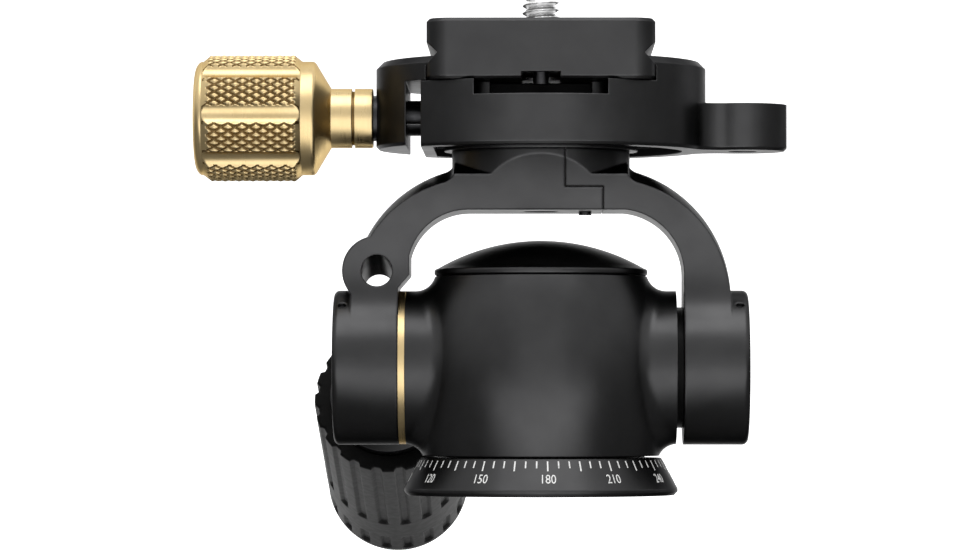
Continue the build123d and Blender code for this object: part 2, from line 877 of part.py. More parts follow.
def grub_plane(side, reach):
    """Plane across a hub's radial grub screw, a reach away from the tilt axis."""
    rise = radians(hub_grub_angle)
    direction = Vector(0, -cos(rise), sin(rise))
    centre = Vector(side * hub_grub_place, 0, tilt_height)
    return Plane(origin=centre + direction * reach, x_dir=(1, 0, 0), z_dir=direction)


def bore_hub(side):
    """Bores of one hub: bearing, counterbore for the cap and the cap's grub screw."""
    disc(across(hub_inner - overrun, side), hub_bore_radius, hub_outer, Mode.SUBTRACT)
    disc(across(hub_floor, side), hub_counterbore_radius, hub_outer, Mode.SUBTRACT)
    disc(grub_plane(side, axle_radius), hub_grub_radius + press_gap, hub_radius, Mode.SUBTRACT)


def bore_lap_screw():
    """Hole of the screw that closes the half-lap."""
    screw_foot = Plane((lap_screw_place, 0, lap_screw_bottom))
    disc(screw_foot, lap_screw_radius + press_gap, lap_screw_length, Mode.SUBTRACT)


# Left arm with the handle's boss, the tilt lock's bore and the tether hole
with BuildPart() as yoke_left_arm:
    add(yoke_blank.part)
    with BuildSketch(handle_plane):
        Circle(handle_boss_radius)
        with Locations((handle_inset, 0)):
            Rectangle(
                handle_boss_radius,
                2 * handle_boss_radius,
                align=(Align.MIN, Align.CENTER),
                mode=Mode.SUBTRACT,
            )
    extrude(amount=handle_seat)
    with BuildSketch(Plane.XZ):
        with BuildLine():
            Polyline(*right_of_seam(0), close=True)
        make_face()
    extrude(amount=hub_outer, both=True, mode=Mode.SUBTRACT)
    bore_hub(-1)
    bore_lap_screw()
    disc(
        handle_plane.offset(-lock_bore_end),
        lock_bore_radius,
        handle_seat + overrun + lock_bore_end,
        Mode.SUBTRACT,
    )
    tether_mouth = to_rear(-lobe_place, -waist_half_width, lobe_height, tether_slope)
    disc(tether_mouth.offset(-overrun), tether_radius, 2 * (waist_half_width + overrun), Mode.SUBTRACT)
    disc(
        level(arch_underside - overrun),
        bolt_radius + press_gap,
        clamp_bottom - arch_underside + 2 * overrun,
        Mode.SUBTRACT,
    )
    for side in (-1, 1):
        dowel_foot = Plane((0, side * dowel_place, dowel_bottom))
        disc(dowel_foot, dowel_radius + press_gap, dowel_length, Mode.SUBTRACT)
keep(yoke_left_arm, "yoke_left_arm")

# Right arm, laid over the left one at the half-lap
with BuildPart() as yoke_right_arm:
    add(yoke_blank.part)
    with BuildSketch(Plane.XZ):
        with BuildLine():
            Polyline(*right_of_seam(lap_gap), close=True)
        make_face()
    extrude(amount=hub_outer, both=True, mode=Mode.INTERSECT)
    bore_hub(1)
    bore_lap_screw()
keep(yoke_right_arm, "yoke_right_arm")

# Small screw below the half-lap
with BuildPart() as lap_joint_screw:
    disc(
        Plane((lap_screw_place, 0, lap_screw_bottom)),
        lap_screw_radius,
        lap_screw_length,
    )
keep(lap_joint_screw, "lap_joint_screw")

# Bush of the right hub
with BuildPart() as right_hub_bush:
    ring(
        across(hub_inner + face_gap),
        hub_bore_radius - press_gap,
        axle_radius + running_gap,
        hub_floor - hub_inner - face_gap,
    )
keep(right_hub_bush, "right_hub_bush")

# Caps that close the hubs, with two spanner holes each
with BuildPart() as hub_caps:
    for side in (-1, 1):
        disc(across(hub_cap_place, side), hub_counterbore_radius - press_gap, hub_cap_thickness)
        outer_face = faces().sort_by(Axis.X)[-1 if side > 0 else 0]
        chamfer(outer_face.outer_wire().edges(), hub_cap_chamfer)
        for place in (-spanner_circle_radius, spanner_circle_radius):
            hole_floor = across(hub_cap_place + hub_cap_thickness - spanner_hole_depth, side, y=place)
            disc(hole_floor, spanner_hole_radius, spanner_hole_depth, Mode.SUBTRACT)
keep(hub_caps, "hub_caps")

# Radial grub screws that hold the hub caps
with BuildPart() as hub_grub_screws:
    for side in (-1, 1):
        disc(
            grub_plane(side, hub_counterbore_radius),
            hub_grub_radius,
            hub_radius - hub_grub_inset - hub_counterbore_radius,
        )
keep(hub_grub_screws, "hub_grub_screws")

# Clamp base: round table with a fixed jaw, an ear and a dovetail channel
with BuildPart() as clamp_base:
    with BuildSketch(level(clamp_bottom)) as table_outline:
        Circle(clamp_radius)
        with Locations((ear_place, 0)):
            Circle(ear_radius)
        fillet(table_outline.vertices().sort_by(Axis.X)[0:2], ear_blend)
    extrude(amount=ear_top - clamp_bottom)
    chamfer(faces().sort_by(Axis.Z)[0].outer_wire().edges(), clamp_edge_chamfer)
    disc(level(ear_top), clamp_radius, jaw_top - ear_top)
    chamfer(faces().sort_by(Axis.Z)[-1].outer_wire().edges(), rim_chamfer)
    with BuildSketch(level(clamp_bottom)):
        with Locations((-clamp_flat, 0)):
            Rectangle(clamp_radius, 2 * clamp_radius, align=(Align.MAX, Align.CENTER))
    extrude(amount=jaw_top - clamp_bottom, mode=Mode.SUBTRACT)
    with BuildSketch(Plane.XZ):
        with BuildLine():
            Polyline(
                (-clamp_radius, seat_height),
                (dovetail_half, seat_height),
                (dovetail_half, dovetail_foot_height),
                (dovetail_lip_half, jaw_top),
                (dovetail_lip_half, jaw_top + overrun),
                (-clamp_radius, jaw_top + overrun),
                close=True,
            )
        make_face()
    extrude(amount=clamp_radius, both=True, mode=Mode.SUBTRACT)
    with BuildSketch(level(pocket_floor)):
        for side, inward in ((1, Align.MIN), (-1, Align.MAX)):
            with Locations((0, side * pocket_reach)):
                RectangleRounded(pocket_width, clamp_radius, pocket_fillet, align=(Align.CENTER, inward))
            with Locations((0, side * channel_reach)):
                Rectangle(channel_width, pocket_reach, align=(Align.CENTER, inward))
    extrude(amount=seat_height - pocket_floor + overrun, mode=Mode.SUBTRACT)
    with BuildSketch(level(clamp_bottom)):
        Circle(under_recess_outer_radius)
        Circle(under_recess_inner_radius, mode=Mode.SUBTRACT)
        with Locations((-under_recess_flat, 0)):
            Rectangle(
                clamp_radius,
                2 * clamp_radius,
                align=(Align.MAX, Align.CENTER),
                mode=Mode.SUBTRACT,
            )
    extrude(amount=under_recess_depth, mode=Mode.SUBTRACT)
    disc(level(well_floor), well_radius, seat_height - well_floor, Mode.SUBTRACT)
    disc(level(clamp_bottom), bolt_radius + press_gap, well_floor - clamp_bottom, Mode.SUBTRACT)
    disc(Plane((ear_place, 0, clamp_bottom)), ear_hole_radius, ear_top - clamp_bottom, Mode.SUBTRACT)
    disc(
        across(clamp_screw_tip - clamp_screw_tip_gap, -1, z=clamp_screw_height),
        clamp_screw_radius + clamp_screw_gap,
        clamp_radius,
        Mode.SUBTRACT,
    )
    for side in (-1, 1):
        disc(
            across(spring_seat, -1, y=side * guide_place, z=clamp_screw_height),
            guide_radius + running_gap,
            clamp_radius,
            Mode.SUBTRACT,
        )
        dowel_foot = Plane((0, side * dowel_place, dowel_bottom))
        disc(dowel_foot, dowel_radius + press_gap, dowel_length, Mode.SUBTRACT)
keep(clamp_base, "clamp_base")

# Bolt from the well down through the yoke's neck
with BuildPart() as clamp_centre_bolt:
    disc(level(well_floor), bolt_head_radius, bolt_head_height)
    disc(level(arch_underside + bolt_tip_inset), bolt_radius, well_floor - arch_underside - bolt_tip_inset)
    with BuildSketch(level(well_floor + bolt_head_height - bolt_socket_depth)):
        RegularPolygon(bolt_socket_across / 2, hex_sides, major_radius=False)
    extrude(amount=bolt_socket_depth, mode=Mode.SUBTRACT)
keep(clamp_centre_bolt, "clamp_centre_bolt")

# Dowels that square the clamp on the yoke
with BuildPart() as clamp_dowel_pins:
    for side in (-1, 1):
        dowel_foot = Plane((0, side * dowel_place, dowel_bottom))
        disc(dowel_foot, dowel_radius, dowel_length)
keep(clamp_dowel_pins, "clamp_dowel_pins")

# Moving jaw, cut from the same round outline as the clamp base
with BuildPart() as clamp_jaw:
    disc(level(jaw_bottom), clamp_radius, jaw_top - jaw_bottom)
    chamfer(faces().sort_by(Axis.Z)[-1].outer_wire().edges(), rim_chamfer)
    chamfer(faces().sort_by(Axis.Z)[0].outer_wire().edges(), clamp_edge_chamfer)
    with BuildSketch(Plane.XZ):
        with BuildLine():
            Polyline(
                (-clamp_radius - overrun, jaw_bottom),
                (-jaw_inner, jaw_bottom),
                (-jaw_inner, jaw_lip_bottom),
                (-dovetail_half, jaw_lip_bottom),
                (-dovetail_half, dovetail_foot_height),
                (-dovetail_lip_half, jaw_top),
                (-clamp_radius - overrun, jaw_top),
                close=True,
            )
        make_face()
    extrude(amount=clamp_radius, both=True, mode=Mode.INTERSECT)
    disc(
        across(jaw_inner - overrun, -1, z=clamp_screw_height),
        clamp_screw_radius + clamp_screw_gap,
        clamp_radius,
        Mode.SUBTRACT,
    )
    disc(across(knob_seat, -1, z=clamp_screw_height), knob_seat_radius, overrun, Mode.SUBTRACT)
    for side in (-1, 1):
        disc(
            across(jaw_inner, -1, y=side * guide_place, z=clamp_screw_height),
            guide_radius + press_gap,
            guide_press_length,
            Mode.SUBTRACT,
        )
keep(clamp_jaw, "clamp_jaw")

# Guide pins pressed in the jaw
with BuildPart() as jaw_guide_pins:
    for side in (-1, 1):
        disc(
            across(guide_inner, -1, y=side * guide_place, z=clamp_screw_height),
            guide_radius,
            guide_outer - guide_inner,
        )
keep(jaw_guide_pins, "jaw_guide_pins")

# Coil springs behind the guide pins push the jaw open
with BuildPart() as jaw_springs:
    for side in (-1, 1):
        with BuildLine():
            coil = Helix(
                spring_pitch,
                spring_length - 2 * spring_wire_radius - 2 * face_gap,
                spring_radius - spring_wire_radius,
                center=(
                    spring_wire_radius + face_gap - guide_inner,
                    side * guide_place,
                    clamp_screw_height,
                ),
                direction=(1, 0, 0),
            )
        with BuildSketch(Plane(coil @ 0, z_dir=coil % 0)):
            Circle(spring_wire_radius)
        sweep(path=coil, is_frenet=True)
keep(jaw_springs, "jaw_springs")

# Threaded shank of the clamp's knob
with BuildPart() as clamp_screw:
    disc(
        across(clamp_screw_tip, -1, z=clamp_screw_height),
        clamp_screw_radius,
        clamp_screw_head - clamp_screw_tip,
    )
    chamfer(edges().sort_by(Axis.X)[-1], clamp_screw_chamfer)
keep(clamp_screw, "clamp_screw")

# Knob with its knurled band, cone and neck; scene work adds the knurl's diamonds
with BuildPart() as clamp_knob:
    turned(
        Plane.XZ,
        [
            (-place, clamp_screw_height + radius)
            for place, radius in (
                (knob_end, 0),
                (knob_end, knob_rim_radius),
                (knurl_outer, knob_rim_radius),
                (knurl_outer - knurl_height, knurl_radius),
                (knurl_inner + knurl_height, knurl_radius),
                (knurl_inner, knob_rim_radius),
                (knob_cone, knob_rim_radius),
                (knob_neck, knob_neck_radius),
                (knob_groove + knob_groove_width, knob_neck_radius),
                (knob_groove + knob_groove_width, knob_neck_radius - knob_groove_depth),
                (knob_groove, knob_neck_radius - knob_groove_depth),
                (knob_groove, knob_neck_radius),
                (knob_base, knob_neck_radius),
                (knob_base, clamp_screw_radius + press_gap),
                (clamp_screw_head + face_gap, clamp_screw_radius + press_gap),
                (clamp_screw_head + face_gap, 0),
            )
        ],
        clamp_screw_axis,
    )
    fillet(edges().group_by(Axis.X)[0], knob_rim_fillet)
    disc(
        across(knob_end - knob_dish_depth, -1, z=clamp_screw_height),
        knob_dish_radius,
        knob_dish_depth,
        Mode.SUBTRACT,
    )
    with BuildSketch(across(knob_base, -1, z=clamp_screw_height)):
        with PolarLocations(knurl_radius - flute_depth + flute_radius, flute_count, flute_turn):
            Circle(flute_radius)
    extrude(amount=knob_end - knob_base, mode=Mode.SUBTRACT)
keep(clamp_knob, "clamp_knob")

# Collar between knob and jaw
with BuildPart() as knob_collar:
    ring(
        across(knob_seat + face_gap, -1, z=clamp_screw_height),
        collar_radius,
        clamp_screw_radius + press_gap,
        collar_length - 2 * face_gap,
    )
keep(knob_collar, "knob_collar")

# Quick-release plate with dovetail flanges
with BuildPart() as quick_release_plate:
    with BuildSketch(level(plate_bottom)):
        RectangleRounded(2 * plate_half_width, 2 * plate_half_length, plate_corner_radius)
    extrude(amount=plate_top - plate_bottom)
    chamfer(faces().sort_by(Axis.Z)[-1].outer_wire().edges(), plate_edge_chamfer)
    chamfer(faces().sort_by(Axis.Z)[0].outer_wire().edges(), plate_edge_chamfer)
    with BuildSketch(Plane.XZ):
        for side in (-1, 1):
            with BuildLine():
                Polyline(
                    (
                        side * (plate_half_width + overrun),
                        plate_bevel_top - plate_half_width - overrun + plate_notch_half,
                    ),
                    (side * plate_notch_half, plate_bevel_top),
                    (side * plate_notch_half, plate_bevel_top + plate_notch_flat),
                    (
                        side * (plate_half_width + overrun),
                        plate_bevel_top + plate_notch_flat + plate_half_width + overrun - plate_notch_half,
                    ),
                    close=True,
                )
            make_face()
    extrude(amount=plate_half_length, both=True, mode=Mode.SUBTRACT)
    with BuildSketch(level(plate_bottom)):
        SlotCenterToCenter(2 * plate_slot_reach, plate_slot_width, rotation=90)
    extrude(amount=plate_top - plate_bottom, mode=Mode.SUBTRACT)
    with BuildSketch(level(plate_bottom)):
        Rectangle(plate_slot_width, 2 * plate_half_length)
    extrude(amount=plate_groove_depth, mode=Mode.SUBTRACT)
    disc(level(plate_bottom), plate_recess_radius, plate_recess_top - plate_bottom, Mode.SUBTRACT)
    with BuildSketch(level(plate_top - pad_recess)):
        with Locations((-pad_place, 0), (pad_place, 0)):
            RectangleRounded(pad_width, pad_length, pad_corner_radius)
    extrude(amount=pad_recess, mode=Mode.SUBTRACT)
    for side in (-1, 1):
        screw_foot = Plane((0, side * stop_screw_place, stop_screw_bottom))
        disc(screw_foot, stop_screw_radius + press_gap, stop_screw_length, Mode.SUBTRACT)
keep(quick_release_plate, "quick_release_plate")

# Cork strips on the plate
with BuildPart() as plate_pads:
    with BuildSketch(level(plate_top - pad_recess)):
        with Locations((-pad_place, 0), (pad_place, 0)):
            RectangleRounded(
                pad_width - 2 * press_gap,
                pad_length - 2 * press_gap,
                pad_corner_radius - press_gap,
            )
    extrude(amount=pad_recess + pad_proud)
keep(plate_pads, "plate_pads")

# Stop screws that keep the plate from sliding out
with BuildPart() as plate_stop_screws:
    for side in (-1, 1):
        screw_foot = Plane((0, side * stop_screw_place, stop_screw_bottom))
        disc(screw_foot, stop_screw_radius, stop_screw_length)
keep(plate_stop_screws, "plate_stop_screws")

# Camera screw with its slotted head in the plate's recess
with BuildPart() as camera_screw:
    disc(level(camera_thread_bottom), camera_screw_radius, camera_screw_top - camera_thread_bottom)
    chamfer(edges().sort_by(Axis.Z)[-1], camera_screw_chamfer)
    disc(level(camera_head_bottom), camera_shank_radius, camera_thread_bottom - camera_head_bottom)
    disc(level(camera_head_bottom), camera_head_radius, camera_head_height)
    with BuildSketch(level(camera_head_bottom)):
        Rectangle(2 * camera_head_radius, camera_slot_width)
    extrude(amount=camera_slot_depth, mode=Mode.SUBTRACT)
keep(camera_screw, "camera_screw")

# Washer that keeps the camera screw captive
with BuildPart() as camera_screw_washer:
    ring(
        level(camera_washer_bottom),
        camera_washer_radius,
        camera_shank_radius + press_gap,
        camera_washer_thickness,
    )
keep(camera_screw_washer, "camera_screw_washer")

# Handle rod with the stud that drives the tilt lock
with BuildPart() as handle_rod:
    disc(handle_plane.offset(stud_end), stud_radius, rod_start - stud_end)
    disc(handle_plane.offset(rod_start), rod_radius, rod_end - rod_start)
keep(handle_rod, "handle_rod")

# Thin nut against the handle's boss
with BuildPart() as handle_jam_nut:
    with BuildSketch(handle_plane.offset(handle_seat + face_gap)):
        RegularPolygon(jam_nut_across / 2, hex_sides, major_radius=False)
        Circle(stud_radius + press_gap, mode=Mode.SUBTRACT)
    extrude(amount=jam_nut_thickness)
keep(handle_jam_nut, "handle_jam_nut")

# Cotter that the stud pushes along the axle's drum
with BuildPart() as lock_shoe:
    disc(
        handle_plane.offset(-shoe_inner_reach),
        lock_bore_radius - running_gap,
        shoe_outer_reach + shoe_inner_reach,
    )
    scallop_centre = Vector(-hub_outer, 0, tilt_height) + handle_direction * shoe_scallop_lead
    disc(
        Plane(scallop_centre, x_dir=(0, 1, 0), z_dir=(1, 0, 0)),
        drum_radius + shoe_scallop_gap,
        hub_outer,
        Mode.SUBTRACT,
    )
keep(lock_shoe, "lock_shoe")

# Metal ferrule in the mouth of the grip
with BuildPart() as handle_ferrule:
    turned_on_handle(
        [
            (ferrule_start, rod_radius + press_gap),
            (ferrule_start, ferrule_neck_radius),
            (ferrule_cone_end, ferrule_radius),
            (core_start, ferrule_radius),
            (core_start, rod_radius + press_gap),
        ]
    )
keep(handle_ferrule, "handle_ferrule")

# Plastic core inside the grip
with BuildPart() as handle_core:
    turned_on_handle(
        [
            (core_start, rod_radius + press_gap),
            (core_start, ferrule_radius),
            (core_end, ferrule_radius),
            (core_end, 0),
            (rod_end + face_gap, 0),
            (rod_end + face_gap, rod_radius + press_gap),
        ]
    )
keep(handle_core, "handle_core")

# Rubber grip with two rows of grooves
with BuildPart() as handle_grip:
    turned_on_handle(
        [
            (grip_start, ferrule_radius + press_gap),
            (grip_start, grip_radius),
            (grip_start + grip_length, grip_radius),
            (grip_start + grip_length, 0),
            (core_end + face_gap, 0),
            (core_end + face_gap, ferrule_radius + press_gap),
        ]
    )
    fillet(edges().group_by(handle_axis)[-1], grip_end_fillet)
    fillet(edges().group_by(handle_axis)[0].sort_by(SortBy.RADIUS)[-1], grip_mouth_fillet)
    for row_start, row_length in ((0, first_row_length), (second_row_start, second_row_length)):
        with BuildSketch(handle_plane.offset(grip_start + row_start)):
            with PolarLocations(grip_radius, groove_count, groove_turn):
                Rectangle(2 * groove_depth, groove_width)
        extrude(amount=row_length, mode=Mode.SUBTRACT)
keep(handle_grip, "handle_grip")
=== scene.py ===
# %% [markdown]
# # A tripod pan head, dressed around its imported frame
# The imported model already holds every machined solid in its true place.
# This lesson gives each solid its finish, and builds anew the few pieces whose
# fine shape a solid modeller would not carry: the diamond knurl of the knob, the
# threads, the moulded grip and the white degree scale.

# %% Load the frame and the tools
from math import pi, radians

import bmesh
import bpy
import numpy as np
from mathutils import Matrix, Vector


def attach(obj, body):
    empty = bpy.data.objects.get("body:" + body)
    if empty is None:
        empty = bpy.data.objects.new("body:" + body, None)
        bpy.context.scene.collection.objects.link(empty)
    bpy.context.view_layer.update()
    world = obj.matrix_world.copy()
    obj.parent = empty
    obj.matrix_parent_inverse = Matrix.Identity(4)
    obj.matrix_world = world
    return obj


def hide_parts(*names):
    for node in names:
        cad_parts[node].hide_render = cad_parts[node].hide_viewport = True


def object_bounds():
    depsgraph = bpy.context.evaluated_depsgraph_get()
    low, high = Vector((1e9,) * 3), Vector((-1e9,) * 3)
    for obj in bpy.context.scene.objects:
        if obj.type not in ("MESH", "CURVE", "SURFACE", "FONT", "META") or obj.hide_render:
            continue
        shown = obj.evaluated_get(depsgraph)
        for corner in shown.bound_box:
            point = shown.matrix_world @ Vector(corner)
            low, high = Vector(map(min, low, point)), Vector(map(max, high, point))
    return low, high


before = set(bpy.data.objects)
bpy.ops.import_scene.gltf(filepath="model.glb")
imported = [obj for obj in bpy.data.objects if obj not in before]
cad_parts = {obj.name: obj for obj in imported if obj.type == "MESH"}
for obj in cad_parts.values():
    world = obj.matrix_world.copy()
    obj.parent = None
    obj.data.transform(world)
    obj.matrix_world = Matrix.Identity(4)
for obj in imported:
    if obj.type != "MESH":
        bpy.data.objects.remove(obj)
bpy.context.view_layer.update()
MM = 0.001
X, Y, Z = np.eye(3)
print("nodes in the frame:", len(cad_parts))

# %% [markdown]
# ## Smooth curved faces, crisp edges
# The frame's meshes are loose triangles, so a turned face would look faceted.
# Welding the corners and shading by angle brings back round faces and keeps the
# machined edges. Both are modifiers, so the stored meshes stay untouched.

# %% Shade every node by angle
SHARP_ANGLE = radians(28)
WELD_REACH = 0.001 * MM


def shading_group():
    """Node group that shades faces smooth where they meet at less than SHARP_ANGLE."""
    group = bpy.data.node_groups.new("smooth_by_angle", "GeometryNodeTree")
    group.interface.new_socket("Geometry", in_out="INPUT", socket_type="NodeSocketGeometry")
    group.interface.new_socket("Geometry", in_out="OUTPUT", socket_type="NodeSocketGeometry")
    source = group.nodes.new("NodeGroupInput")
    result = group.nodes.new("NodeGroupOutput")
    angle = group.nodes.new("GeometryNodeInputMeshEdgeAngle")
    flat_enough = group.nodes.new("FunctionNodeCompare")
    flat_enough.operation = "LESS_EQUAL"
    flat_enough.inputs["B"].default_value = SHARP_ANGLE
    by_edge = group.nodes.new("GeometryNodeSetShadeSmooth")
    by_edge.domain = "EDGE"
    by_face = group.nodes.new("GeometryNodeSetShadeSmooth")
    link = group.links.new
    link(angle.outputs["Unsigned Angle"], flat_enough.inputs["A"])
    link(source.outputs[0], by_edge.inputs["Geometry"])
    link(flat_enough.outputs["Result"], by_edge.inputs["Shade Smooth"])
    link(by_edge.outputs[0], by_face.inputs["Geometry"])
    link(by_face.outputs[0], result.inputs[0])
    return group


smooth_by_angle = shading_group()
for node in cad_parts.values():
    weld = node.modifiers.new("weld", "WELD")
    weld.merge_threshold = WELD_REACH
    shading = node.modifiers.new("shading", "NODES")
    shading.node_group = smooth_by_angle

# %% [markdown]
# ## Finishes
# Nearly everything here is black anodised aluminium: a hard, satin skin with a
# very fine blasted grain. Each finish below is a small shader made of noise at
# the real grain's scale, read in object coordinates, so it stays put when the
# head moves. A Bevel node softens each machined edge so that it catches light.

# %% Helpers that build a finish
FINE_EDGE = 0.3 * MM
EDGE_SAMPLES = 6
RUBBED_SPOT = 1.2 * MM


class Finish:
    """A Principled material with short calls for the patterns on it."""

    def __init__(self, name, metallic=0.0, specular=0.5, edge=FINE_EDGE, grazing=(1, 1, 1)):
        self.material = bpy.data.materials.new(name)
        self.material.use_nodes = True
        self.nodes = self.material.node_tree.nodes
        self.link = self.material.node_tree.links.new
        self.shader = self.nodes["Principled BSDF"]
        self.shader.inputs["Metallic"].default_value = metallic
        self.shader.inputs["Specular IOR Level"].default_value = specular
        self.shader.inputs["Specular Tint"].default_value = (*grazing, 1)
        self.place = self.nodes.new("ShaderNodeTexCoord").outputs["Object"]
        self.edge = self.nodes.new("ShaderNodeBevel")
        self.edge.samples = EDGE_SAMPLES
        self.edge.inputs["Radius"].default_value = edge
        self.normal = self.edge.outputs["Normal"]
        self.link(self.normal, self.shader.inputs["Normal"])

    def noise(self, size, detail=3.0, stretch=(1, 1, 1)):
        """Noise whose grains are about size wide, in metres."""
        mapping = self.nodes.new("ShaderNodeMapping")
        mapping.inputs["Scale"].default_value = stretch
        self.link(self.place, mapping.inputs["Vector"])
        node = self.nodes.new("ShaderNodeTexNoise")
        node.inputs["Scale"].default_value = 1 / size
        node.inputs["Detail"].default_value = detail
        self.link(mapping.outputs["Vector"], node.inputs["Vector"])
        return node.outputs["Fac"]

    def span(self, value, low, high, start=0.3, end=0.7):
        """Map a pattern's start..end to low..high."""
        node = self.nodes.new("ShaderNodeMapRange")
        for socket, number in (("From Min", start), ("From Max", end), ("To Min", low), ("To Max", high)):
            node.inputs[socket].default_value = number
        self.link(value, node.inputs["Value"])
        return node.outputs["Result"]

    def combine(self, operation, first, second=0.0):
        """One of the Math node's operations, on one pattern or on two patterns or numbers."""
        node = self.nodes.new("ShaderNodeMath")
        node.operation = operation
        for socket, value in zip(node.inputs, (first, second)):
            if isinstance(value, float):
                socket.default_value = value
            else:
                self.link(value, socket)
        return node.outputs[0]

    def rubbed_edges(self, start=0.93, end=0.995):
        """1 on rubbed spots of machined edges and 0 on open faces, from how far the
        bevel turns the normal."""
        geometry = self.nodes.new("ShaderNodeNewGeometry")
        dot = self.nodes.new("ShaderNodeVectorMath")
        dot.operation = "DOT_PRODUCT"
        self.link(geometry.outputs["Normal"], dot.inputs[0])
        self.link(self.edge.outputs["Normal"], dot.inputs[1])
        edges = self.span(dot.outputs["Value"], 1, 0, start, end)
        spots = self.span(self.noise(RUBBED_SPOT), 0, 1, start=0.35, end=0.75)
        return self.combine("MULTIPLY", edges, spots)

    def blend(self, factor, dark, light):
        """Colour between two shades. Each shade is a colour or another blend."""
        node = self.nodes.new("ShaderNodeMix")
        node.data_type = "RGBA"
        self.link(factor, node.inputs[0])
        for socket, shade in ((node.inputs[6], dark), (node.inputs[7], light)):
            if isinstance(shade, tuple):
                socket.default_value = (*shade, 1)
            else:
                self.link(shade, socket)
        return node.outputs[2]

    def dress(self, colour, roughness):
        """Send the colour and the roughness pattern to the shader."""
        self.link(colour, self.shader.inputs["Base Color"])
        self.link(roughness, self.shader.inputs["Roughness"])

    def relief(self, height, depth, strength=0.35):
        """Raise the surface by the pattern, depth metres from 0 to 1."""
        bump = self.nodes.new("ShaderNodeBump")
        bump.inputs["Strength"].default_value = strength
        bump.inputs["Distance"].default_value = depth
        self.link(height, bump.inputs["Height"])
        self.link(self.normal, bump.inputs["Normal"])
        self.normal = bump.outputs["Normal"]
        self.link(self.normal, self.shader.inputs["Normal"])


# %% Black anodised aluminium
BLACK_DARK = (0.046, 0.046, 0.047)
BLACK_LIGHT = (0.058, 0.058, 0.059)
BLACK_RUBBED = (0.085, 0.085, 0.087)
BLACK_GRAZING = (0.35, 0.35, 0.35)
BLACK_ROUGHNESS = (0.30, 0.36)
BLACK_CLOUD = 9 * MM
BLACK_SHEEN_PATCH = 4 * MM
BLASTED_GRAIN = 0.16 * MM
BLASTED_DEPTH = 0.004 * MM
SOFT_EDGE = 0.55 * MM


def black_anodised(name, edge=FINE_EDGE):
    """Satin black skin: faint cloudy tone, blasted grain and slightly rubbed edges. The
    skin is metal with a low reflectance that hardly rises towards its outlines. The
    finish comes back with its colour and roughness, so others can build on it."""
    finish = Finish(name, metallic=1.0, edge=edge, grazing=BLACK_GRAZING)
    tone = finish.span(finish.noise(BLACK_CLOUD, detail=4), 0, 1)
    skin = finish.blend(tone, BLACK_DARK, BLACK_LIGHT)
    colour = finish.blend(finish.rubbed_edges(), skin, BLACK_RUBBED)
    roughness = finish.span(finish.noise(BLACK_SHEEN_PATCH), *BLACK_ROUGHNESS)
    finish.dress(colour, roughness)
    finish.relief(finish.noise(BLASTED_GRAIN, detail=2), BLASTED_DEPTH)
    return finish, colour, roughness


satin_black = black_anodised("satin_black_anodising")[0].material
yoke_black = black_anodised("yoke_anodising", SOFT_EDGE)[0].material

# %% [markdown]
# ## The quick-release plate's bare recess
# The camera screw's recess is turned after anodising, so its wall is bare metal
# with the marks of the tool's passes. Little of it shows, in the groove under the
# plate. A mask picks the wall by its distance from the screw's axis, and the sine
# of the height paints the dark line between two passes, which is painted shade of
# the groove between them.

# %% Plate finish with a bare recess
RECESS_REACH = 9.1
RECESS_TOP = 75.0
PASS_HEIGHT = 0.95
PASS_START = 69.3
# The dark tone between passes is painted shade of the groove between them.
PASS_PAINTED_SHADE = (0.05, 0.05, 0.05)
PASS_BRIGHT = (0.92, 0.92, 0.92)
PASS_ROUGHER = 0.2


def plate_anodised():
    """Black skin with a bare wall near the screw's axis and below RECESS_TOP. Its tone
    follows sin(2 pi (height - PASS_START) / PASS_HEIGHT), and its dark line between
    passes is painted shade."""
    finish, colour, roughness = black_anodised("plate_anodising")
    split = finish.nodes.new("ShaderNodeSeparateXYZ")
    finish.link(finish.place, split.inputs[0])
    across, along, height = split.outputs
    squares = (finish.combine("MULTIPLY", side, side) for side in (across, along))
    reach = finish.combine("SQRT", finish.combine("ADD", *squares))
    near = finish.combine("LESS_THAN", reach, RECESS_REACH * MM)
    low = finish.combine("LESS_THAN", height, RECESS_TOP * MM)
    bare = finish.combine("MULTIPLY", near, low)
    turns = finish.combine("MULTIPLY", height, 2 * pi / (PASS_HEIGHT * MM))
    phase = finish.combine("ADD", turns, -2 * pi * PASS_START / PASS_HEIGHT)
    # 0 on the painted shade between two passes, 1 on the bare metal.
    ring = finish.span(finish.combine("SINE", phase), 0, 1, start=-0.75, end=-0.2)
    finish.dress(
        finish.blend(bare, colour, finish.blend(ring, PASS_PAINTED_SHADE, PASS_BRIGHT)),
        finish.combine("ADD", roughness, finish.combine("MULTIPLY", bare, PASS_ROUGHER)),
    )
    return finish.material


plate_black = plate_anodised()

# %% [markdown]
# The clamp's channel ends in two upright walls under the plate. They are painted
# nearly black, as painted shade for the deep gap. A mask by position picks them out.

# %% Clamp finish with painted shade on the channel walls
CHANNEL_HALF_WIDTH = 8.6
CHANNEL_HALF_LENGTH = 14.0
CHANNEL_TOP = 69.3
# Painted shade: the channel walls' colour is this share of the black skin's.
CHANNEL_PAINTED_SHADE = 0.12


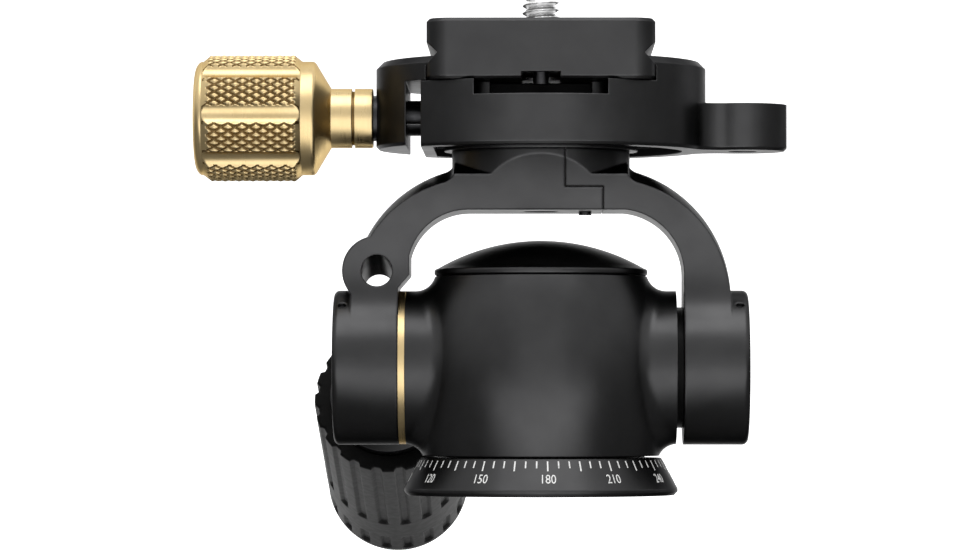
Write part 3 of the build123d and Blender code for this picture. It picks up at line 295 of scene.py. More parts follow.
def clamp_anodised():
    """Black skin with painted shade: darkened in a box about the clamp's axis that ends at CHANNEL_TOP."""
    finish, colour, roughness = black_anodised("clamp_anodising_painted_shade")
    size = finish.nodes.new("ShaderNodeVectorMath")
    size.operation = "ABSOLUTE"
    finish.link(finish.place, size.inputs[0])
    split = finish.nodes.new("ShaderNodeSeparateXYZ")
    finish.link(size.outputs["Vector"], split.inputs[0])
    limits = (CHANNEL_HALF_WIDTH, CHANNEL_HALF_LENGTH, CHANNEL_TOP)
    inside = [finish.combine("LESS_THAN", side, limit * MM) for side, limit in zip(split.outputs, limits)]
    # 1 inside the box where the shade is painted on the channel walls.
    shaded_walls = finish.combine("MULTIPLY", finish.combine("MULTIPLY", inside[0], inside[1]), inside[2])
    shade = tuple(CHANNEL_PAINTED_SHADE * tone for tone in BLACK_DARK)
    finish.dress(finish.blend(shaded_walls, colour, shade), roughness)
    return finish.material


clamp_black_painted_shade = clamp_anodised()

# %% [markdown]
# The knob and the thin ring beside the left hub are champagne anodised. The skin
# shows the turned grain, which runs round the knob's axis, so the noise is drawn
# out across that axis. A darker, browner version of it is painted shade in the
# knurl's rolled grooves and in the neck's groove.

# %% Champagne anodised aluminium
CHAMPAGNE_EDGE = 0.12 * MM
CHAMPAGNE_GRAZING = (0.55, 0.48, 0.38)
CHAMPAGNE_ROUGHNESS = (0.27, 0.36)
CHAMPAGNE_CLOUD = 6 * MM
TURNED_GRAIN = 0.25 * MM
TURNED_DEPTH = 0.002 * MM
ROUND_THE_AXIS = (1, 0.04, 0.04)


def champagne_anodised(name, dark, light, edge_tone):
    """Warm metallic skin with a fine turned grain round the knob."""
    finish = Finish(name, metallic=1.0, edge=CHAMPAGNE_EDGE, grazing=CHAMPAGNE_GRAZING)
    skin = finish.blend(finish.span(finish.noise(CHAMPAGNE_CLOUD, detail=4), 0, 1), dark, light)
    turned = finish.noise(TURNED_GRAIN, detail=2, stretch=ROUND_THE_AXIS)
    finish.dress(
        finish.blend(finish.rubbed_edges(), skin, edge_tone),
        finish.span(turned, *CHAMPAGNE_ROUGHNESS),
    )
    finish.relief(turned, TURNED_DEPTH, strength=0.25)
    return finish.material


champagne = champagne_anodised(
    "champagne_anodising",
    dark=(0.60, 0.455, 0.232),
    light=(0.67, 0.52, 0.282),
    edge_tone=(0.78, 0.63, 0.38),
)
# Darker, browner skin that paints the shade in the knob's grooves.
champagne_groove_painted_shade = champagne_anodised(
    "champagne_groove_painted_shade",
    dark=(0.115, 0.072, 0.028),
    light=(0.165, 0.105, 0.042),
    edge_tone=(0.24, 0.16, 0.07),
)

# %% [markdown]
# The spindle, the axle and the camera screw are bare turned steel. The small
# screws, nuts, pins and springs are blackened, and the bushes and the lock shoe
# are brass. All share one recipe, whose fine grain is both roughness and relief.

# %% Bare turned steel and brass
BARE_EDGE = 0.1 * MM
BARE_CLOUD = 2 * MM
BARE_GRAIN = 0.3 * MM
BARE_DEPTH = 0.001 * MM


def turned_metal(name, dark, light, rough_low, rough_high):
    """Bare metal with cloudy tone and a fine machined grain."""
    finish = Finish(name, metallic=1.0, edge=BARE_EDGE)
    grain = finish.noise(BARE_GRAIN)
    finish.dress(
        finish.blend(finish.span(finish.noise(BARE_CLOUD, detail=4), 0, 1), dark, light),
        finish.span(grain, rough_low, rough_high),
    )
    finish.relief(grain, BARE_DEPTH, strength=0.2)
    return finish.material


steel = turned_metal("turned_steel", (0.72, 0.72, 0.72), (0.86, 0.86, 0.86), 0.26, 0.34)
dark_steel = turned_metal("blackened_steel", (0.030, 0.030, 0.032), (0.06, 0.06, 0.063), 0.28, 0.42)
brass = turned_metal("turned_brass", (0.58, 0.42, 0.18), (0.70, 0.54, 0.27), 0.22, 0.36)

# %% [markdown]
# The grip, the plate's pads and the lid's seal are rubber. The pan's friction
# washer, the spacer at the right hub and the grip's core are plastic. Moulded
# skins have little gloss, and a fine pitted grain breaks up what they have.

# %% Rubber and plastic
MOULDED_GLOSS = 0.1
MOULDED_CLOUD = 7 * MM
MOULDED_SHEEN_PATCH = 1.5 * MM


def soft_skin(name, dark, light, rough, grain_size, grain_depth):
    """Moulded skin with little gloss: faint tone and a fine pitted grain."""
    finish = Finish(name, specular=MOULDED_GLOSS)
    finish.dress(
        finish.blend(finish.span(finish.noise(MOULDED_CLOUD, detail=5), 0, 1), dark, light),
        finish.span(finish.noise(MOULDED_SHEEN_PATCH), *rough),
    )
    finish.relief(finish.noise(grain_size), grain_depth, strength=0.6)
    return finish.material


rubber = soft_skin("grip_rubber", (0.002,) * 3, (0.004,) * 3, (0.55, 0.62), 0.4 * MM, 0.003 * MM)
plastic = soft_skin("dark_plastic", (0.008,) * 3, (0.013,) * 3, (0.4, 0.5), 0.4 * MM, 0.006 * MM)
pad_rubber = soft_skin("pad_rubber", (0.010,) * 3, (0.022,) * 3, (0.62, 0.78), 0.5 * MM, 0.05 * MM)

# %% [markdown]
# The degree scale is white paint. Noise picks small worn spots, which are greyer
# and rougher than the whole paint around them.

# %% White paint of the scale
WORN_PAINT = (0.42, 0.42, 0.42)
WHOLE_PAINT = (0.86, 0.86, 0.85)
PAINT_EDGE = 0.02 * MM
PAINT_ROUGHNESS = (0.6, 0.45)
WORN_SPOT = 0.35 * MM
PAINT_GRAIN = 0.1 * MM
PAINT_DEPTH = 0.004 * MM


def scale_paint():
    """Slightly worn white paint. The pattern is 1 where the paint is whole."""
    finish = Finish("scale_paint", edge=PAINT_EDGE)
    whole = finish.span(finish.noise(WORN_SPOT, detail=4), 0, 1, start=0.25, end=0.45)
    finish.dress(
        finish.blend(whole, WORN_PAINT, WHOLE_PAINT),
        finish.span(whole, *PAINT_ROUGHNESS, start=0, end=1),
    )
    finish.relief(finish.noise(PAINT_GRAIN), PAINT_DEPTH, strength=0.3)
    return finish.material


white_paint = scale_paint()

# %% [markdown]
# The frame's nodes get these finishes by name. The nodes that a new piece replaces
# further down get one too, so that none is left undressed.

# %% Give each node its finish
finish_of_node = {
    satin_black: "base_ring body_housing dome_cap hub_caps clamp_jaw handle_ferrule",
    clamp_black_painted_shade: "clamp_base",
    yoke_black: "yoke_left_arm yoke_right_arm",
    plate_black: "quick_release_plate",
    champagne: "friction_ring clamp_knob",
    steel: (
        "pan_spindle pan_thrust_washer pan_spring_washer tilt_axle axle_end_washers handle_rod "
        "camera_screw"
    ),
    dark_steel: (
        "base_screws pan_preload_nut axle_grub_screw axle_end_screws lap_joint_screw hub_grub_screws "
        "clamp_centre_bolt clamp_dowel_pins jaw_springs handle_jam_nut jaw_guide_pins clamp_screw "
        "knob_collar plate_stop_screws camera_screw_washer"
    ),
    brass: "pan_bush right_hub_bush lock_shoe",
    plastic: "pan_friction_washer spacer_washer handle_core",
    pad_rubber: "plate_pads cap_seal_ring",
    rubber: "handle_grip",
}
for material, names in finish_of_node.items():
    for name in names.split():
        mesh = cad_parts[name].data
        mesh.materials.clear()
        mesh.materials.append(material)
print("finishes given to", sum(len(names.split()) for names in finish_of_node.values()), "nodes")

# %% [markdown]
# ## New pieces as grids of points
# Every new turned piece is a surface with two parameters: one runs along an axis
# and one runs round it. numpy works out all points at once, and one helper turns
# the points and faces into a closed mesh with its faces pointing outwards.

# %% Helpers that turn points into a piece
SEAM_REACH = 0.0005 * MM


def closed_piece(name, points, faces, materials, body, material_of_face=None):
    """Mesh over points (n, 3) that rides on a body. Near points merge, which closes
    seams and poles, and faces are turned outwards."""
    mesh = bpy.data.meshes.new(name)
    mesh.from_pydata(points.tolist(), [], faces)
    for material in materials:
        mesh.materials.append(material)
    if material_of_face is not None:
        mesh.polygons.foreach_set("material_index", material_of_face)
    work = bmesh.new()
    work.from_mesh(mesh)
    bmesh.ops.remove_doubles(work, verts=work.verts, dist=SEAM_REACH)
    bmesh.ops.recalc_face_normals(work, faces=work.faces)
    work.to_mesh(mesh)
    work.free()
    piece = bpy.data.objects.new(name, mesh)
    bpy.context.scene.collection.objects.link(piece)
    shading = piece.modifiers.new("shading", "NODES")
    shading.node_group = smooth_by_angle
    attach(piece, body)
    print(name, "has", len(mesh.polygons), "faces")
    return piece


def grid_faces(rows, columns):
    """Quads over a grid whose columns go once round."""
    corner = np.arange(rows * columns).reshape(rows, columns)
    right = np.roll(corner, -1, axis=1)
    return np.stack([corner[:-1], right[:-1], right[1:], corner[1:]], axis=-1).reshape(-1, 4)


def lathe_grid(outline, columns):
    """Grids of place along the axis, angle round it and plain radius, from an
    outline of (place, radius) rows."""
    angles = np.arange(columns) * 2 * pi / columns
    places, turned = np.meshgrid(outline[:, 0], angles, indexing="ij")
    return places, turned, np.repeat(outline[:, 1:2], columns, axis=1)


def round_axis(along, radius, angle, origin, axis, start):
    """Points at origin + along * axis, radius away from the axis. The angle is
    measured from start towards axis x start. All lengths are in millimetres."""
    side = np.cross(axis, start)
    spoke = np.cos(angle)[..., None] * start + np.sin(angle)[..., None] * side
    return (origin + along[..., None] * axis + radius[..., None] * spoke) * MM


def arc(centre, radii, start, end, steps):
    """Points (place, radius) on an ellipse from the start angle to the end angle, in degrees."""
    turn = np.radians(np.linspace(start, end, steps))
    return np.stack([centre[0] + radii[0] * np.cos(turn), centre[1] + radii[1] * np.sin(turn)], axis=1)


# %% [markdown]
# ## The knurled knob
# The knob is turned from bar: a rounded rim, a wide knurled band, a plain collar
# and a cone down to its neck. The knurl is two families of rolled grooves that
# cross, which leaves diamonds, and eight smooth flutes are milled through it.
# Each is a formula for the radius, so the whole surface is one lathe form. The
# faces in the grooves get a browner skin, which is painted shade for their dark.

# %% The knob's outline
KNOB_CENTRE = np.array([0.0, 0.0, 64.0])
KNURL_START = -57.35
KNURL_END = -40.55
KNURL_PITCH = 2.36
KNURLS_ROUND = 48
KNURL_CREST = 10.78
KNURL_DEPTH = 0.42
KNURL_RUN_UP = 1.3
GROOVE_SHARE = 0.66
STEPS_A_PITCH = 12
KNOB_RIM = 9.7
KNOB_END = -58.8
DISH_FLOOR = -58.3
DISH_RADIUS = 7.2
DISH_MOUTH_RADIUS = 7.4
RIM_ROUNDING = (1.35, 2.2)
COLLAR_END = -38.9
COLLAR_ROUNDING = 0.9
NECK_START = -35.6
NECK_END = -28.5
NECK_RADIUS = 5.05
NECK_ROUNDING = 0.25
NECK_GROOVE = -31.86
NECK_GROOVE_REACH = 0.26
NECK_GROOVE_RADIUS = 4.6
NECK_GROOVE_WALL = 0.02
BORE_RADIUS = 3.02
BORE_END = -45.05

knurl_rows = int(round((KNURL_END - KNURL_START) / KNURL_PITCH * STEPS_A_PITCH)) + 1
band = np.linspace(KNURL_START, KNURL_END, knurl_rows)
band_rise = np.minimum(band - KNURL_START, KNURL_END - band) * (KNURL_CREST - KNOB_RIM) / KNURL_RUN_UP
neck_groove = [
    (NECK_GROOVE - NECK_GROOVE_REACH, NECK_RADIUS),
    (NECK_GROOVE - NECK_GROOVE_REACH + NECK_GROOVE_WALL, NECK_GROOVE_RADIUS),
    (NECK_GROOVE + NECK_GROOVE_REACH - NECK_GROOVE_WALL, NECK_GROOVE_RADIUS),
    (NECK_GROOVE + NECK_GROOVE_REACH, NECK_RADIUS),
]
rim_centre = (KNOB_END + RIM_ROUNDING[0], KNOB_RIM - RIM_ROUNDING[1])
collar_centre = (COLLAR_END, KNOB_RIM - COLLAR_ROUNDING)
neck_centre = (NECK_END - NECK_ROUNDING, NECK_RADIUS - NECK_ROUNDING)
knob_outline = np.concatenate([
    [(DISH_FLOOR, 0.0), (DISH_FLOOR, DISH_RADIUS), (KNOB_END, DISH_MOUTH_RADIUS)],
    arc(rim_centre, RIM_ROUNDING, 180, 90, 10),
    np.stack([band, np.minimum(KNURL_CREST, KNOB_RIM + band_rise)], axis=1),
    arc(collar_centre, (COLLAR_ROUNDING, COLLAR_ROUNDING), 90, 28, 8),
    [(NECK_START, NECK_RADIUS)],
    neck_groove,
    arc(neck_centre, (NECK_ROUNDING, NECK_ROUNDING), 90, 0, 4),
    [(NECK_END, BORE_RADIUS), (BORE_END, BORE_RADIUS), (BORE_END, 0.0)],
])
print("knob", round(NECK_END - KNOB_END, 2), "mm long, with", len(knob_outline), "rings")

# %% The knurl and the flutes
FLUTES = 8
FLUTE_RADIUS = 2.2
FLUTE_FLOOR = 9.82
FLUTE_TURN = radians(-1.2)
BAND_LIFT = 0.05
MOST_OF_A_FACE = 0.6


def rolled_groove(phase):
    """1 in the middle of a groove at each whole phase, 0 outside its share of the pitch."""
    away = np.abs(phase - np.round(phase))
    return np.clip(1 - away / (GROOVE_SHARE / 2), 0, 1)


def knurl_depth(x, angle):
    """Depth share of two crossing families of helical grooves."""
    along = (x - KNURL_START) / KNURL_PITCH
    around = angle * KNURLS_ROUND / (2 * pi)
    return np.maximum(rolled_groove(along + around), rolled_groove(along - around))


def flute_depth(angle, plain):
    """Radius left by the nearest flute's round cutter."""
    step = 2 * pi / FLUTES
    off = np.mod(angle - FLUTE_TURN + step / 2, step) - step / 2
    distance = FLUTE_FLOOR + FLUTE_RADIUS
    reach = FLUTE_RADIUS**2 - (distance * np.sin(off)) ** 2
    return np.where(reach > 0, distance * np.cos(off) - np.sqrt(np.maximum(reach, 0)), plain)


knob_x, knob_angle, knob_plain = lathe_grid(knob_outline, KNURLS_ROUND * STEPS_A_PITCH)
knurl = knurl_depth(knob_x, knob_angle)
knurled = np.minimum(knob_plain, KNURL_CREST - KNURL_DEPTH * knurl)
fluted = flute_depth(knob_angle, knob_plain)
on_band = knob_plain > KNOB_RIM + BAND_LIFT
knob_radius = np.where(on_band, np.minimum(knurled, fluted), knob_plain)
# Faces mostly in a rolled groove or in the neck's groove get the browner skin: painted shade.
in_knurl_groove = on_band & (knurl > 0.5) & (knurled < fluted)
in_neck_groove = np.abs(knob_x - NECK_GROOVE) < NECK_GROOVE_REACH + NECK_GROOVE_WALL / 2
groove_shade_corner_share = (in_knurl_groove | in_neck_groove).astype(float)
groove_shade_edge_share = (groove_shade_corner_share[:-1] + groove_shade_corner_share[1:]) / 2
groove_shade_face_share = (groove_shade_edge_share + np.roll(groove_shade_edge_share, -1, axis=1)) / 2
knob = closed_piece(
    "knurled_knob",
    round_axis(knob_x, knob_radius, knob_angle, KNOB_CENTRE, X, Y).reshape(-1, 3),
    grid_faces(*knob_x.shape).tolist(),
    [champagne, champagne_groove_painted_shade],
    "knob",
    (groove_shade_face_share > MOST_OF_A_FACE).astype(int).ravel(),
)
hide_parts("clamp_knob")

# %% [markdown]
# ## The moulded grip
# The grip is a rubber sleeve with two rows of grooves. The first row is open at
# the mouth, where it notches the rim, and every other end is round. The grooves
# are soft dips in a plain sleeve that ends in a dome.

# %% The handle's axis and the grip's grooves
HANDLE_SLOPE = radians(14.6)
HANDLE_AXIS = np.array([0, np.cos(HANDLE_SLOPE), -np.sin(HANDLE_SLOPE)])
HANDLE_NORMAL = np.array([0, np.sin(HANDLE_SLOPE), np.cos(HANDLE_SLOPE)])
HUB_MIDDLE = np.array([-27.6, 0, 21.6])
HANDLE_LIFT = 8.86
HANDLE_ORIGIN = HUB_MIDDLE + HANDLE_LIFT * HANDLE_NORMAL
GRIP_START = 55.6
GRIP_LENGTH = 71.0
GRIP_RADIUS = 13.47
GRIP_BORE = 10.52
GRIP_END_WALL = 4.05
GROOVES = 20
GROOVE_WIDTH = 1.95
GROOVE_DEPTH = 0.65
GROOVE_SPREAD = 0.12
GROOVE_SOFTNESS = 0.55
GROOVE_ROWS = ((-5.0, 42.7), (53.0, 62.3))


def grip_dip(along, angle):
    """Depth share of the grooves: 1 on a slot's floor, falling smoothly to 0 at its rim."""
    step = 2 * pi / GROOVES
    across = (np.mod(angle, step) - step / 2) * GRIP_RADIUS
    depth = np.zeros_like(along)
    for start, end in GROOVE_ROWS:
        inner = np.clip(along, start + GROOVE_WIDTH / 2, end - GROOVE_WIDTH / 2)
        away = np.hypot(along - inner, across)
        dip = (GROOVE_WIDTH / 2 + GROOVE_SPREAD - away) / GROOVE_SOFTNESS
        depth = np.maximum(depth, np.clip(dip, 0, 1))
    return depth**2 * (3 - 2 * depth)


# %% Build the grip along the handle
MOUTH_ROUNDING = 0.6
END_ROUNDING = 8.0
SLEEVE_START = 1.0
SLEEVE_GAP = 0.2
SLEEVE_RINGS = 210
STEPS_A_GROOVE = 16
NEARLY = 0.01

bore_end = GRIP_LENGTH - GRIP_END_WALL
sleeve = np.linspace(SLEEVE_START, GRIP_LENGTH - END_ROUNDING - SLEEVE_GAP, SLEEVE_RINGS)
grip_outline = np.concatenate([
    [(bore_end, 0.0), (bore_end, GRIP_BORE), (0.0, GRIP_BORE)],
    arc((MOUTH_ROUNDING, GRIP_RADIUS - MOUTH_ROUNDING), (MOUTH_ROUNDING, MOUTH_ROUNDING), 180, 90, 6),
    np.stack([sleeve, np.full(len(sleeve), GRIP_RADIUS)], axis=1),
    arc((GRIP_LENGTH - END_ROUNDING, GRIP_RADIUS - END_ROUNDING), (END_ROUNDING, END_ROUNDING), 90, 0, 22),
    [(GRIP_LENGTH, 0.0)],
])
grip_along, grip_angle, grip_plain = lathe_grid(grip_outline, GROOVES * STEPS_A_GROOVE)
outside = grip_plain > GRIP_RADIUS - MOUTH_ROUNDING - NEARLY
grip_radius = grip_plain - np.where(outside, GROOVE_DEPTH * grip_dip(grip_along, grip_angle), 0)
grip_points = round_axis(
    grip_along + GRIP_START, grip_radius, grip_angle, HANDLE_ORIGIN, HANDLE_AXIS, X
)
grip = closed_piece(
    "moulded_grip",
    grip_points.reshape(-1, 3),
    grid_faces(*grip_along.shape).tolist(),
    [rubber],
    "handle",
)
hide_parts("handle_grip")

# %% [markdown]
# ## Screw threads
# A thread is a ridge that climbs one pitch a turn. On a lathe form that is a
# radius that depends on the height minus the share of the turn made, with a
# triangle wave for the ridge's flanks and a flat cut at its crest and root.

# %% Helper for a threaded rod
THREAD_COLUMNS = 72
ROOT_FLAT = 0.12
FLANK = 0.72


def thread_radius(along, angle, crest, root, pitch):
    """Radius of a thread whose ends run out over half a pitch."""
    phase = along / pitch - angle / (2 * pi)
    wave = 2 * np.abs(phase - np.floor(phase) - 0.5)
    ridge = np.clip((wave - ROOT_FLAT) / FLANK, 0, 1)
    run_out = np.clip(np.minimum(along - along.min(), along.max() - along) / (0.5 * pitch), 0, 1)
    return root + (crest - root) * ridge * run_out


def threaded_rod(before, thread, after, crest, root, pitch):
    """Grids of place, radius and angle: plain rows, threaded rows and plain rows."""
    outline = np.concatenate([before, np.stack([thread, np.full(len(thread), crest)], axis=1), after])
    along, angle, radius = lathe_grid(outline, THREAD_COLUMNS)
    cut = slice(len(before), len(before) + len(thread))
    radius[cut] = thread_radius(along[cut], angle[cut], crest, root, pitch)
    return along, radius, angle


# %% [markdown]
# The camera screw has a broad head that hides in the plate's recess, with a slot
# for a coin. The slot splits the head's lower part in two, so that part is made
# as two half-moon prisms under a whole disc.

# %% The camera screw
CAMERA_PITCH = 1.27
CAMERA_CREST = 3.175
CAMERA_ROOT = 2.45
CAMERA_TIP_RADIUS = 2.2
CAMERA_RINGS = 61
HEAD_BOTTOM = 70.0
SLOT_TOP = 71.2
HEAD_TOP = 73.2
HEAD_RADIUS = 7.6
HEAD_CHAMFER = 0.3
SLOT_HALF = 0.8
SHANK_RADIUS = 2.5
SHANK_TOP = 79.3
CAMERA_THREAD_START = 79.35
CAMERA_THREAD_END = 84.4

head_and_shank = np.array([
    (SLOT_TOP, 0.0),
    (SLOT_TOP, HEAD_RADIUS),
    (HEAD_TOP - HEAD_CHAMFER, HEAD_RADIUS),
    (HEAD_TOP, HEAD_RADIUS - HEAD_CHAMFER),
    (HEAD_TOP, SHANK_RADIUS),
    (SHANK_TOP, SHANK_RADIUS),
])
camera_tip = np.array([(CAMERA_THREAD_END, CAMERA_TIP_RADIUS), (CAMERA_THREAD_END, 0.0)])
camera_thread = np.linspace(CAMERA_THREAD_START, CAMERA_THREAD_END, CAMERA_RINGS)
rod = threaded_rod(
    head_and_shank, camera_thread, camera_tip, CAMERA_CREST, CAMERA_ROOT, CAMERA_PITCH
)
screw_points = [round_axis(*rod, np.zeros(3), Z, X).reshape(-1, 3)]
screw_faces = grid_faces(*rod[0].shape).tolist()
slot_turn = np.arcsin(SLOT_HALF / HEAD_RADIUS)
moon_turn = np.linspace(slot_turn, pi - slot_turn, 40)
moon = HEAD_RADIUS * np.stack([np.cos(moon_turn), np.sin(moon_turn)], axis=1)
for side in (1, -1):
    first = sum(len(points) for points in screw_points)
    low = np.column_stack([side * moon, np.full(len(moon), HEAD_BOTTOM)])
    high = np.column_stack([side * moon, np.full(len(moon), SLOT_TOP)])
    screw_points.append(np.concatenate([low, high]) * MM)
    bottom = np.arange(len(moon)) + first
    top = bottom + len(moon)
    screw_faces += [bottom.tolist(), top[::-1].tolist()]
    screw_faces += np.stack([bottom, np.roll(bottom, -1), np.roll(top, -1), top], axis=1).tolist()
camera_screw = closed_piece(
    "threaded_camera_screw", np.concatenate(screw_points), screw_faces, [steel], "camera_screw"
)
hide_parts("camera_screw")

# %% [markdown]
# The clamp screw is fast in the knob. Its shank is plain in the jaw's gap, where
# the photograph shows no thread, and the thread starts inside the clamp.

# %% The clamp screw
CLAMP_PITCH = 1.0
CLAMP_CREST = 3.0
CLAMP_ROOT = 2.5
CLAMP_RINGS = 91
CLAMP_SCREW_HEAD = -45.0
KNOB_SEAT = -27.7
CLAMP_SHANK_END = -19.6
CLAMP_THREAD_START = -19.5
CLAMP_THREAD_END = -10.6
CLAMP_SCREW_TIP = -10.0

clamp_shank = np.array([
    (CLAMP_SCREW_HEAD, 0.0),
    (CLAMP_SCREW_HEAD, CLAMP_CREST),
    (KNOB_SEAT, CLAMP_CREST),
    (CLAMP_SHANK_END, CLAMP_CREST),
])
clamp_tip = np.array([(-10.3, 2.3), (CLAMP_SCREW_TIP, 2.1), (CLAMP_SCREW_TIP, 0.0)])
clamp_thread = np.linspace(CLAMP_THREAD_START, CLAMP_THREAD_END, CLAMP_RINGS)
rod = threaded_rod(clamp_shank, clamp_thread, clamp_tip, CLAMP_CREST, CLAMP_ROOT, CLAMP_PITCH)
clamp_screw = closed_piece(
    "threaded_clamp_screw",
    round_axis(*rod, KNOB_CENTRE, X, Y).reshape(-1, 3),
    grid_faces(*rod[0].shape).tolist(),
    [dark_steel],
    "knob",
)
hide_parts("clamp_screw")

# %% [markdown]
# ## The degree scale
# The base ring's sloping band carries white ticks every five degrees and numbers
# every thirty. Each mark is drawn flat, as angle and height on the slope, and
# then rolled onto the cone, standing a hair's breadth above it like thick paint.

# %% Roll flat marks onto the cone
CONE_FOOT = np.array([23.2, 1.1])
CONE_TOP = np.array([20.4, 6.3])
PAINT = 0.03
ZERO_AZIMUTH = -267.0
SLOPE_LENGTH = float(np.hypot(*(CONE_TOP - CONE_FOOT)))


def on_cone(azimuth, share, lift):
    """Points on the cone at an azimuth in degrees and a share of the way from its
    foot to its top, lifted off it along the slope's normal."""
    run = CONE_TOP - CONE_FOOT
    normal = np.array([run[1], -run[0]]) / SLOPE_LENGTH
    radius = CONE_FOOT[0] + share * run[0] + lift * normal[0]
    height = CONE_FOOT[1] + share * run[1] + lift * normal[1]
    turn = np.radians(azimuth)
    return np.stack([radius * np.cos(turn), radius * np.sin(turn), height], axis=-1) * MM


# %% Ticks every five degrees, longer every fifteen
TICK_HALF_TURN = 0.33
TICK_TOP = 0.93
SHORT_TICK = 1.3 / SLOPE_LENGTH
LONG_TICK = 1.85 / SLOPE_LENGTH
BOX_FACES = np.array([(0, 1, 2, 3), (7, 6, 5, 4), (0, 4, 5, 1), (1, 5, 6, 2), (2, 6, 7, 3), (3, 7, 4, 0)])

tick_angles = np.arange(0, 360, 5.0)
tick_length = np.where(tick_angles % 15 == 0, LONG_TICK, SHORT_TICK)
azimuth = (ZERO_AZIMUTH + tick_angles)[:, None] + TICK_HALF_TURN * np.array([-1, 1, 1, -1])
share = TICK_TOP - tick_length[:, None] * np.array([1, 1, 0, 0])
corners = np.concatenate([on_cone(azimuth, share, PAINT), on_cone(azimuth, share, -PAINT)], axis=1)
tick_faces = np.arange(len(tick_angles))[:, None, None] * 8 + BOX_FACES
closed_piece(
    "scale_ticks",
    corners.reshape(-1, 3),
    tick_faces.reshape(-1, 4).tolist(),
    [white_paint],
    "base",
)

# %% Numbers every thirty degrees
LETTER_SIZE = 2.36
LETTER_WIDTH = 0.80
NUMBER_FOOT = 0.23
MARK_RADIUS = 22.6


def number_outline(words):
    """Flat solid of a number: its points (x across, y up, z thick) and its faces."""
    curve = bpy.data.curves.new("number", "FONT")
    curve.body = words
    curve.align_x = "CENTER"
    curve.extrude = PAINT
    curve.resolution_u = 3
    maker = bpy.data.objects.new("number", curve)
    bpy.context.scene.collection.objects.link(maker)
    bpy.context.view_layer.update()
    mesh = bpy.data.meshes.new_from_object(maker.evaluated_get(bpy.context.evaluated_depsgraph_get()))
    flat = np.empty(len(mesh.vertices) * 3)
    mesh.vertices.foreach_get("co", flat)
    faces = [tuple(face.vertices) for face in mesh.polygons]
    bpy.data.objects.remove(maker)
    bpy.data.curves.remove(curve)
    bpy.data.meshes.remove(mesh)
    return flat.reshape(-1, 3), faces


number_points, number_faces, first = [], [], 0
for number in range(0, 360, 30):
    flat, faces = number_outline(str(number))
    azimuth = ZERO_AZIMUTH + number + np.degrees(flat[:, 0] * LETTER_SIZE * LETTER_WIDTH / MARK_RADIUS)
    share = NUMBER_FOOT + flat[:, 1] * LETTER_SIZE / SLOPE_LENGTH
    number_points.append(on_cone(azimuth, share, flat[:, 2]))
    number_faces += [tuple(index + first for index in face) for face in faces]
    first += len(flat)
closed_piece(
    "scale_numbers", np.concatenate(number_points), number_faces, [white_paint], "base"
)

# %% [markdown]
# ## Floor, backdrop and light
# The photograph is a studio cut-out on white. Its cylinders tell where the light
# stood: a wide soft box overhead, a broad soft wall in front, and a pale floor that
# lights the undersides and darkens towards the sides. The floor and the backdrop
# carry a light of their own for the camera and for mirrors, so they read as white
# while the lamps stay at a plain level and the floor keeps the cast shadow. That
# glow and the paper's tone are painted lower near the object and towards the sides:
# a painted shadow round the object and a painted fall-off of light.

# %% Floor and backdrop
# The glows and the paper's tone are each two distances and the values there. The
# eye's distance is measured from the middle, with the sideways part times ASIDE.
# The mirrors' and the paper's is the depth less SECTOR times the sideways part.
FLOOR_GAP = 0.3 * MM
FLOOR_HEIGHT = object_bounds()[0].z - FLOOR_GAP
REACH = 3.0
BACK = 1.6
# Lower values near the object paint a shadow there, and lower values to the sides paint a fall-off of
# light.
EYE_GLOW_AND_PAINTED_SHADOW = (0.015, 0.110, 0.50, 1.0)
MIRROR_GLOW_AND_PAINTED_FALLOFF = (0.005, 0.050, 0.05, 1.0)
PAPER_TONE_AND_PAINTED_SHADE = (0.005, 0.050, 0.15, 0.80)
PAPER_ROUGHNESS = 0.9
ASIDE = 0.8
SECTOR = 0.9


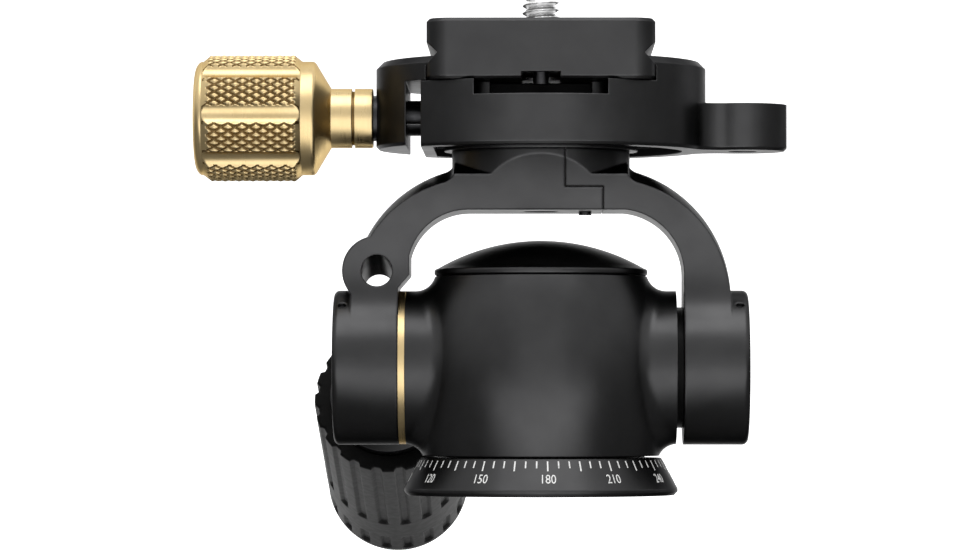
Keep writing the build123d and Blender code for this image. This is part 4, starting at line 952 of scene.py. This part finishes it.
def stage_sheet(name, corners):
    """Paper whose glow only the eye, mirrors and glass see. Near the object the eye
    sees less of it and the paper's tone is darker: a painted shadow. Mirrors see the
    glow and the paper fade towards the sides, a painted fall-off of light, as the
    light of the photograph's table does."""
    mesh = bpy.data.meshes.new(name)
    mesh.from_pydata(corners, [], [(0, 1, 2, 3)])
    material = bpy.data.materials.new(name + "_paper")
    material.use_nodes = True
    nodes, link = material.node_tree.nodes, material.node_tree.links.new
    shader = nodes["Principled BSDF"]
    shader.inputs["Roughness"].default_value = PAPER_ROUGHNESS
    shader.inputs["Specular IOR Level"].default_value = 0.0
    shader.inputs["Emission Color"].default_value = (1, 1, 1, 1)
    place = nodes.new("ShaderNodeTexCoord").outputs["Object"]

    def vector(operation, second=None):
        node = nodes.new("ShaderNodeVectorMath")
        node.operation = operation
        link(place, node.inputs[0])
        if second is not None:
            node.inputs[1].default_value = second
        return node

    def scalar(operation, first, second):
        node = nodes.new("ShaderNodeMath")
        node.operation = operation
        link(first, node.inputs[0])
        link(second, node.inputs[1])
        return node.outputs[0]

    def ramp(value, start, end, low, high):
        node = nodes.new("ShaderNodeMapRange")
        link(value, node.inputs["Value"])
        for socket, number in (("From Min", start), ("From Max", end), ("To Min", low), ("To Max", high)):
            node.inputs[socket].default_value = number
        return node.outputs["Result"]

    stretched = vector("MULTIPLY", (ASIDE, 1, 1))
    away = nodes.new("ShaderNodeVectorMath")
    away.operation = "LENGTH"
    link(stretched.outputs["Vector"], away.inputs[0])
    eye_glow_and_painted_shadow = ramp(away.outputs["Value"], *EYE_GLOW_AND_PAINTED_SHADOW)
    size = nodes.new("ShaderNodeSeparateXYZ")
    link(vector("ABSOLUTE").outputs["Vector"], size.inputs[0])
    aside = ramp(size.outputs["X"], 0, 1, 0, SECTOR)
    # The paper's tone and the mirrors' glow fall with this distance: painted shade and painted fall-off.
    painted_shade_distance = scalar("SUBTRACT", size.outputs["Y"], aside)
    link(ramp(painted_shade_distance, *PAPER_TONE_AND_PAINTED_SHADE), shader.inputs["Base Color"])
    mirror_glow_and_painted_falloff = ramp(painted_shade_distance, *MIRROR_GLOW_AND_PAINTED_FALLOFF)
    rays = nodes.new("ShaderNodeLightPath").outputs
    mirrored = scalar("MAXIMUM", rays["Is Glossy Ray"], rays["Is Transmission Ray"])
    seen = scalar("MULTIPLY", rays["Is Camera Ray"], eye_glow_and_painted_shadow)
    reflected = scalar("MULTIPLY", mirrored, mirror_glow_and_painted_falloff)
    link(scalar("ADD", seen, reflected), shader.inputs["Emission Strength"])
    mesh.materials.append(material)
    sheet = bpy.data.objects.new(name, mesh)
    bpy.context.scene.collection.objects.link(sheet)


front_line = [(-REACH, -REACH, FLOOR_HEIGHT), (REACH, -REACH, FLOOR_HEIGHT)]
back_line = [(-REACH, BACK, FLOOR_HEIGHT), (REACH, BACK, FLOOR_HEIGHT)]
top_line = [(-REACH, BACK, REACH), (REACH, BACK, REACH)]
stage_sheet("floor", front_line + back_line[::-1])
stage_sheet("backdrop", back_line + top_line[::-1])

# %% [markdown]
# The photographed blacks grow darker from the top of each upright face to its foot.
# So the studio's air is bright overhead and falls off towards the horizon.

# %% World and soft boxes
HORIZON_LIGHT = 0.08
SKY_LIGHT = 0.95
SKY_FOOT = -0.03
SKY_TOP = 0.40

world = bpy.data.worlds.new("studio")
bpy.context.scene.world = world
world.use_nodes = True
sky_nodes, sky_link = world.node_tree.nodes, world.node_tree.links.new
direction = sky_nodes.new("ShaderNodeSeparateXYZ")
sky_link(sky_nodes.new("ShaderNodeTexCoord").outputs["Generated"], direction.inputs[0])
falloff = sky_nodes.new("ShaderNodeMapRange")
sky_link(direction.outputs["Z"], falloff.inputs["Value"])
sky_ends = {"From Min": SKY_FOOT, "From Max": SKY_TOP, "To Min": HORIZON_LIGHT, "To Max": SKY_LIGHT}
for socket, number in sky_ends.items():
    falloff.inputs[socket].default_value = number
sky_link(falloff.outputs["Result"], sky_nodes["Background"].inputs["Strength"])
sky_nodes["Background"].inputs["Color"].default_value = (1, 1, 1, 1)
AIM = Vector((0, 0, 0.04))


def soft_box(name, place, size, radiance):
    """Rectangular area lamp at a place, of a size in metres, that faces the head."""
    data = bpy.data.lights.new(name, "AREA")
    data.shape = "RECTANGLE"
    data.size, data.size_y = size
    data.energy = radiance * pi * size[0] * size[1]
    lamp = bpy.data.objects.new(name, data)
    bpy.context.scene.collection.objects.link(lamp)
    lamp.location = place
    lamp.rotation_euler = (AIM - lamp.location).to_track_quat("-Z", "Y").to_euler()


soft_box("top_box", place=(0, -0.20, 0.68), size=(0.75, 0.52), radiance=2.3)
soft_box("front_wall", place=(0, -1.30, 0.18), size=(1.10, 0.40), radiance=0.76)

# %% [markdown]
# ## The camera
# The camera's place and its long lens of about 178 mm are fitted to the photograph.
# A slight turn puts the point where depths vanish at its place in the picture.

# %% Camera at the photograph's angle
PHOTO_WIDTH, PHOTO_HEIGHT = 978, 550
VANISHING = (538.0, 397.0)
FOCAL_PIXELS = 4850.0
SENSOR = 36.0
CAMERA_PLACE = (-0.5, -824.5, 16.6)

camera_data = bpy.data.cameras.new("camera")
camera_data.sensor_width = SENSOR
camera_data.lens = SENSOR * FOCAL_PIXELS / PHOTO_WIDTH
camera = bpy.data.objects.new("camera", camera_data)
bpy.context.scene.collection.objects.link(camera)
bpy.context.scene.camera = camera
camera.location = [place * MM for place in CAMERA_PLACE]
turn_left = np.arctan((VANISHING[0] - PHOTO_WIDTH / 2) / FOCAL_PIXELS)
turn_up = np.arctan((VANISHING[1] - PHOTO_HEIGHT / 2) / FOCAL_PIXELS)
camera.rotation_euler = (pi / 2 + turn_up, 0, turn_left)
print("lens", round(camera_data.lens, 1), "mm")

# %% View settings
bpy.context.scene.view_settings.view_transform = "Standard"
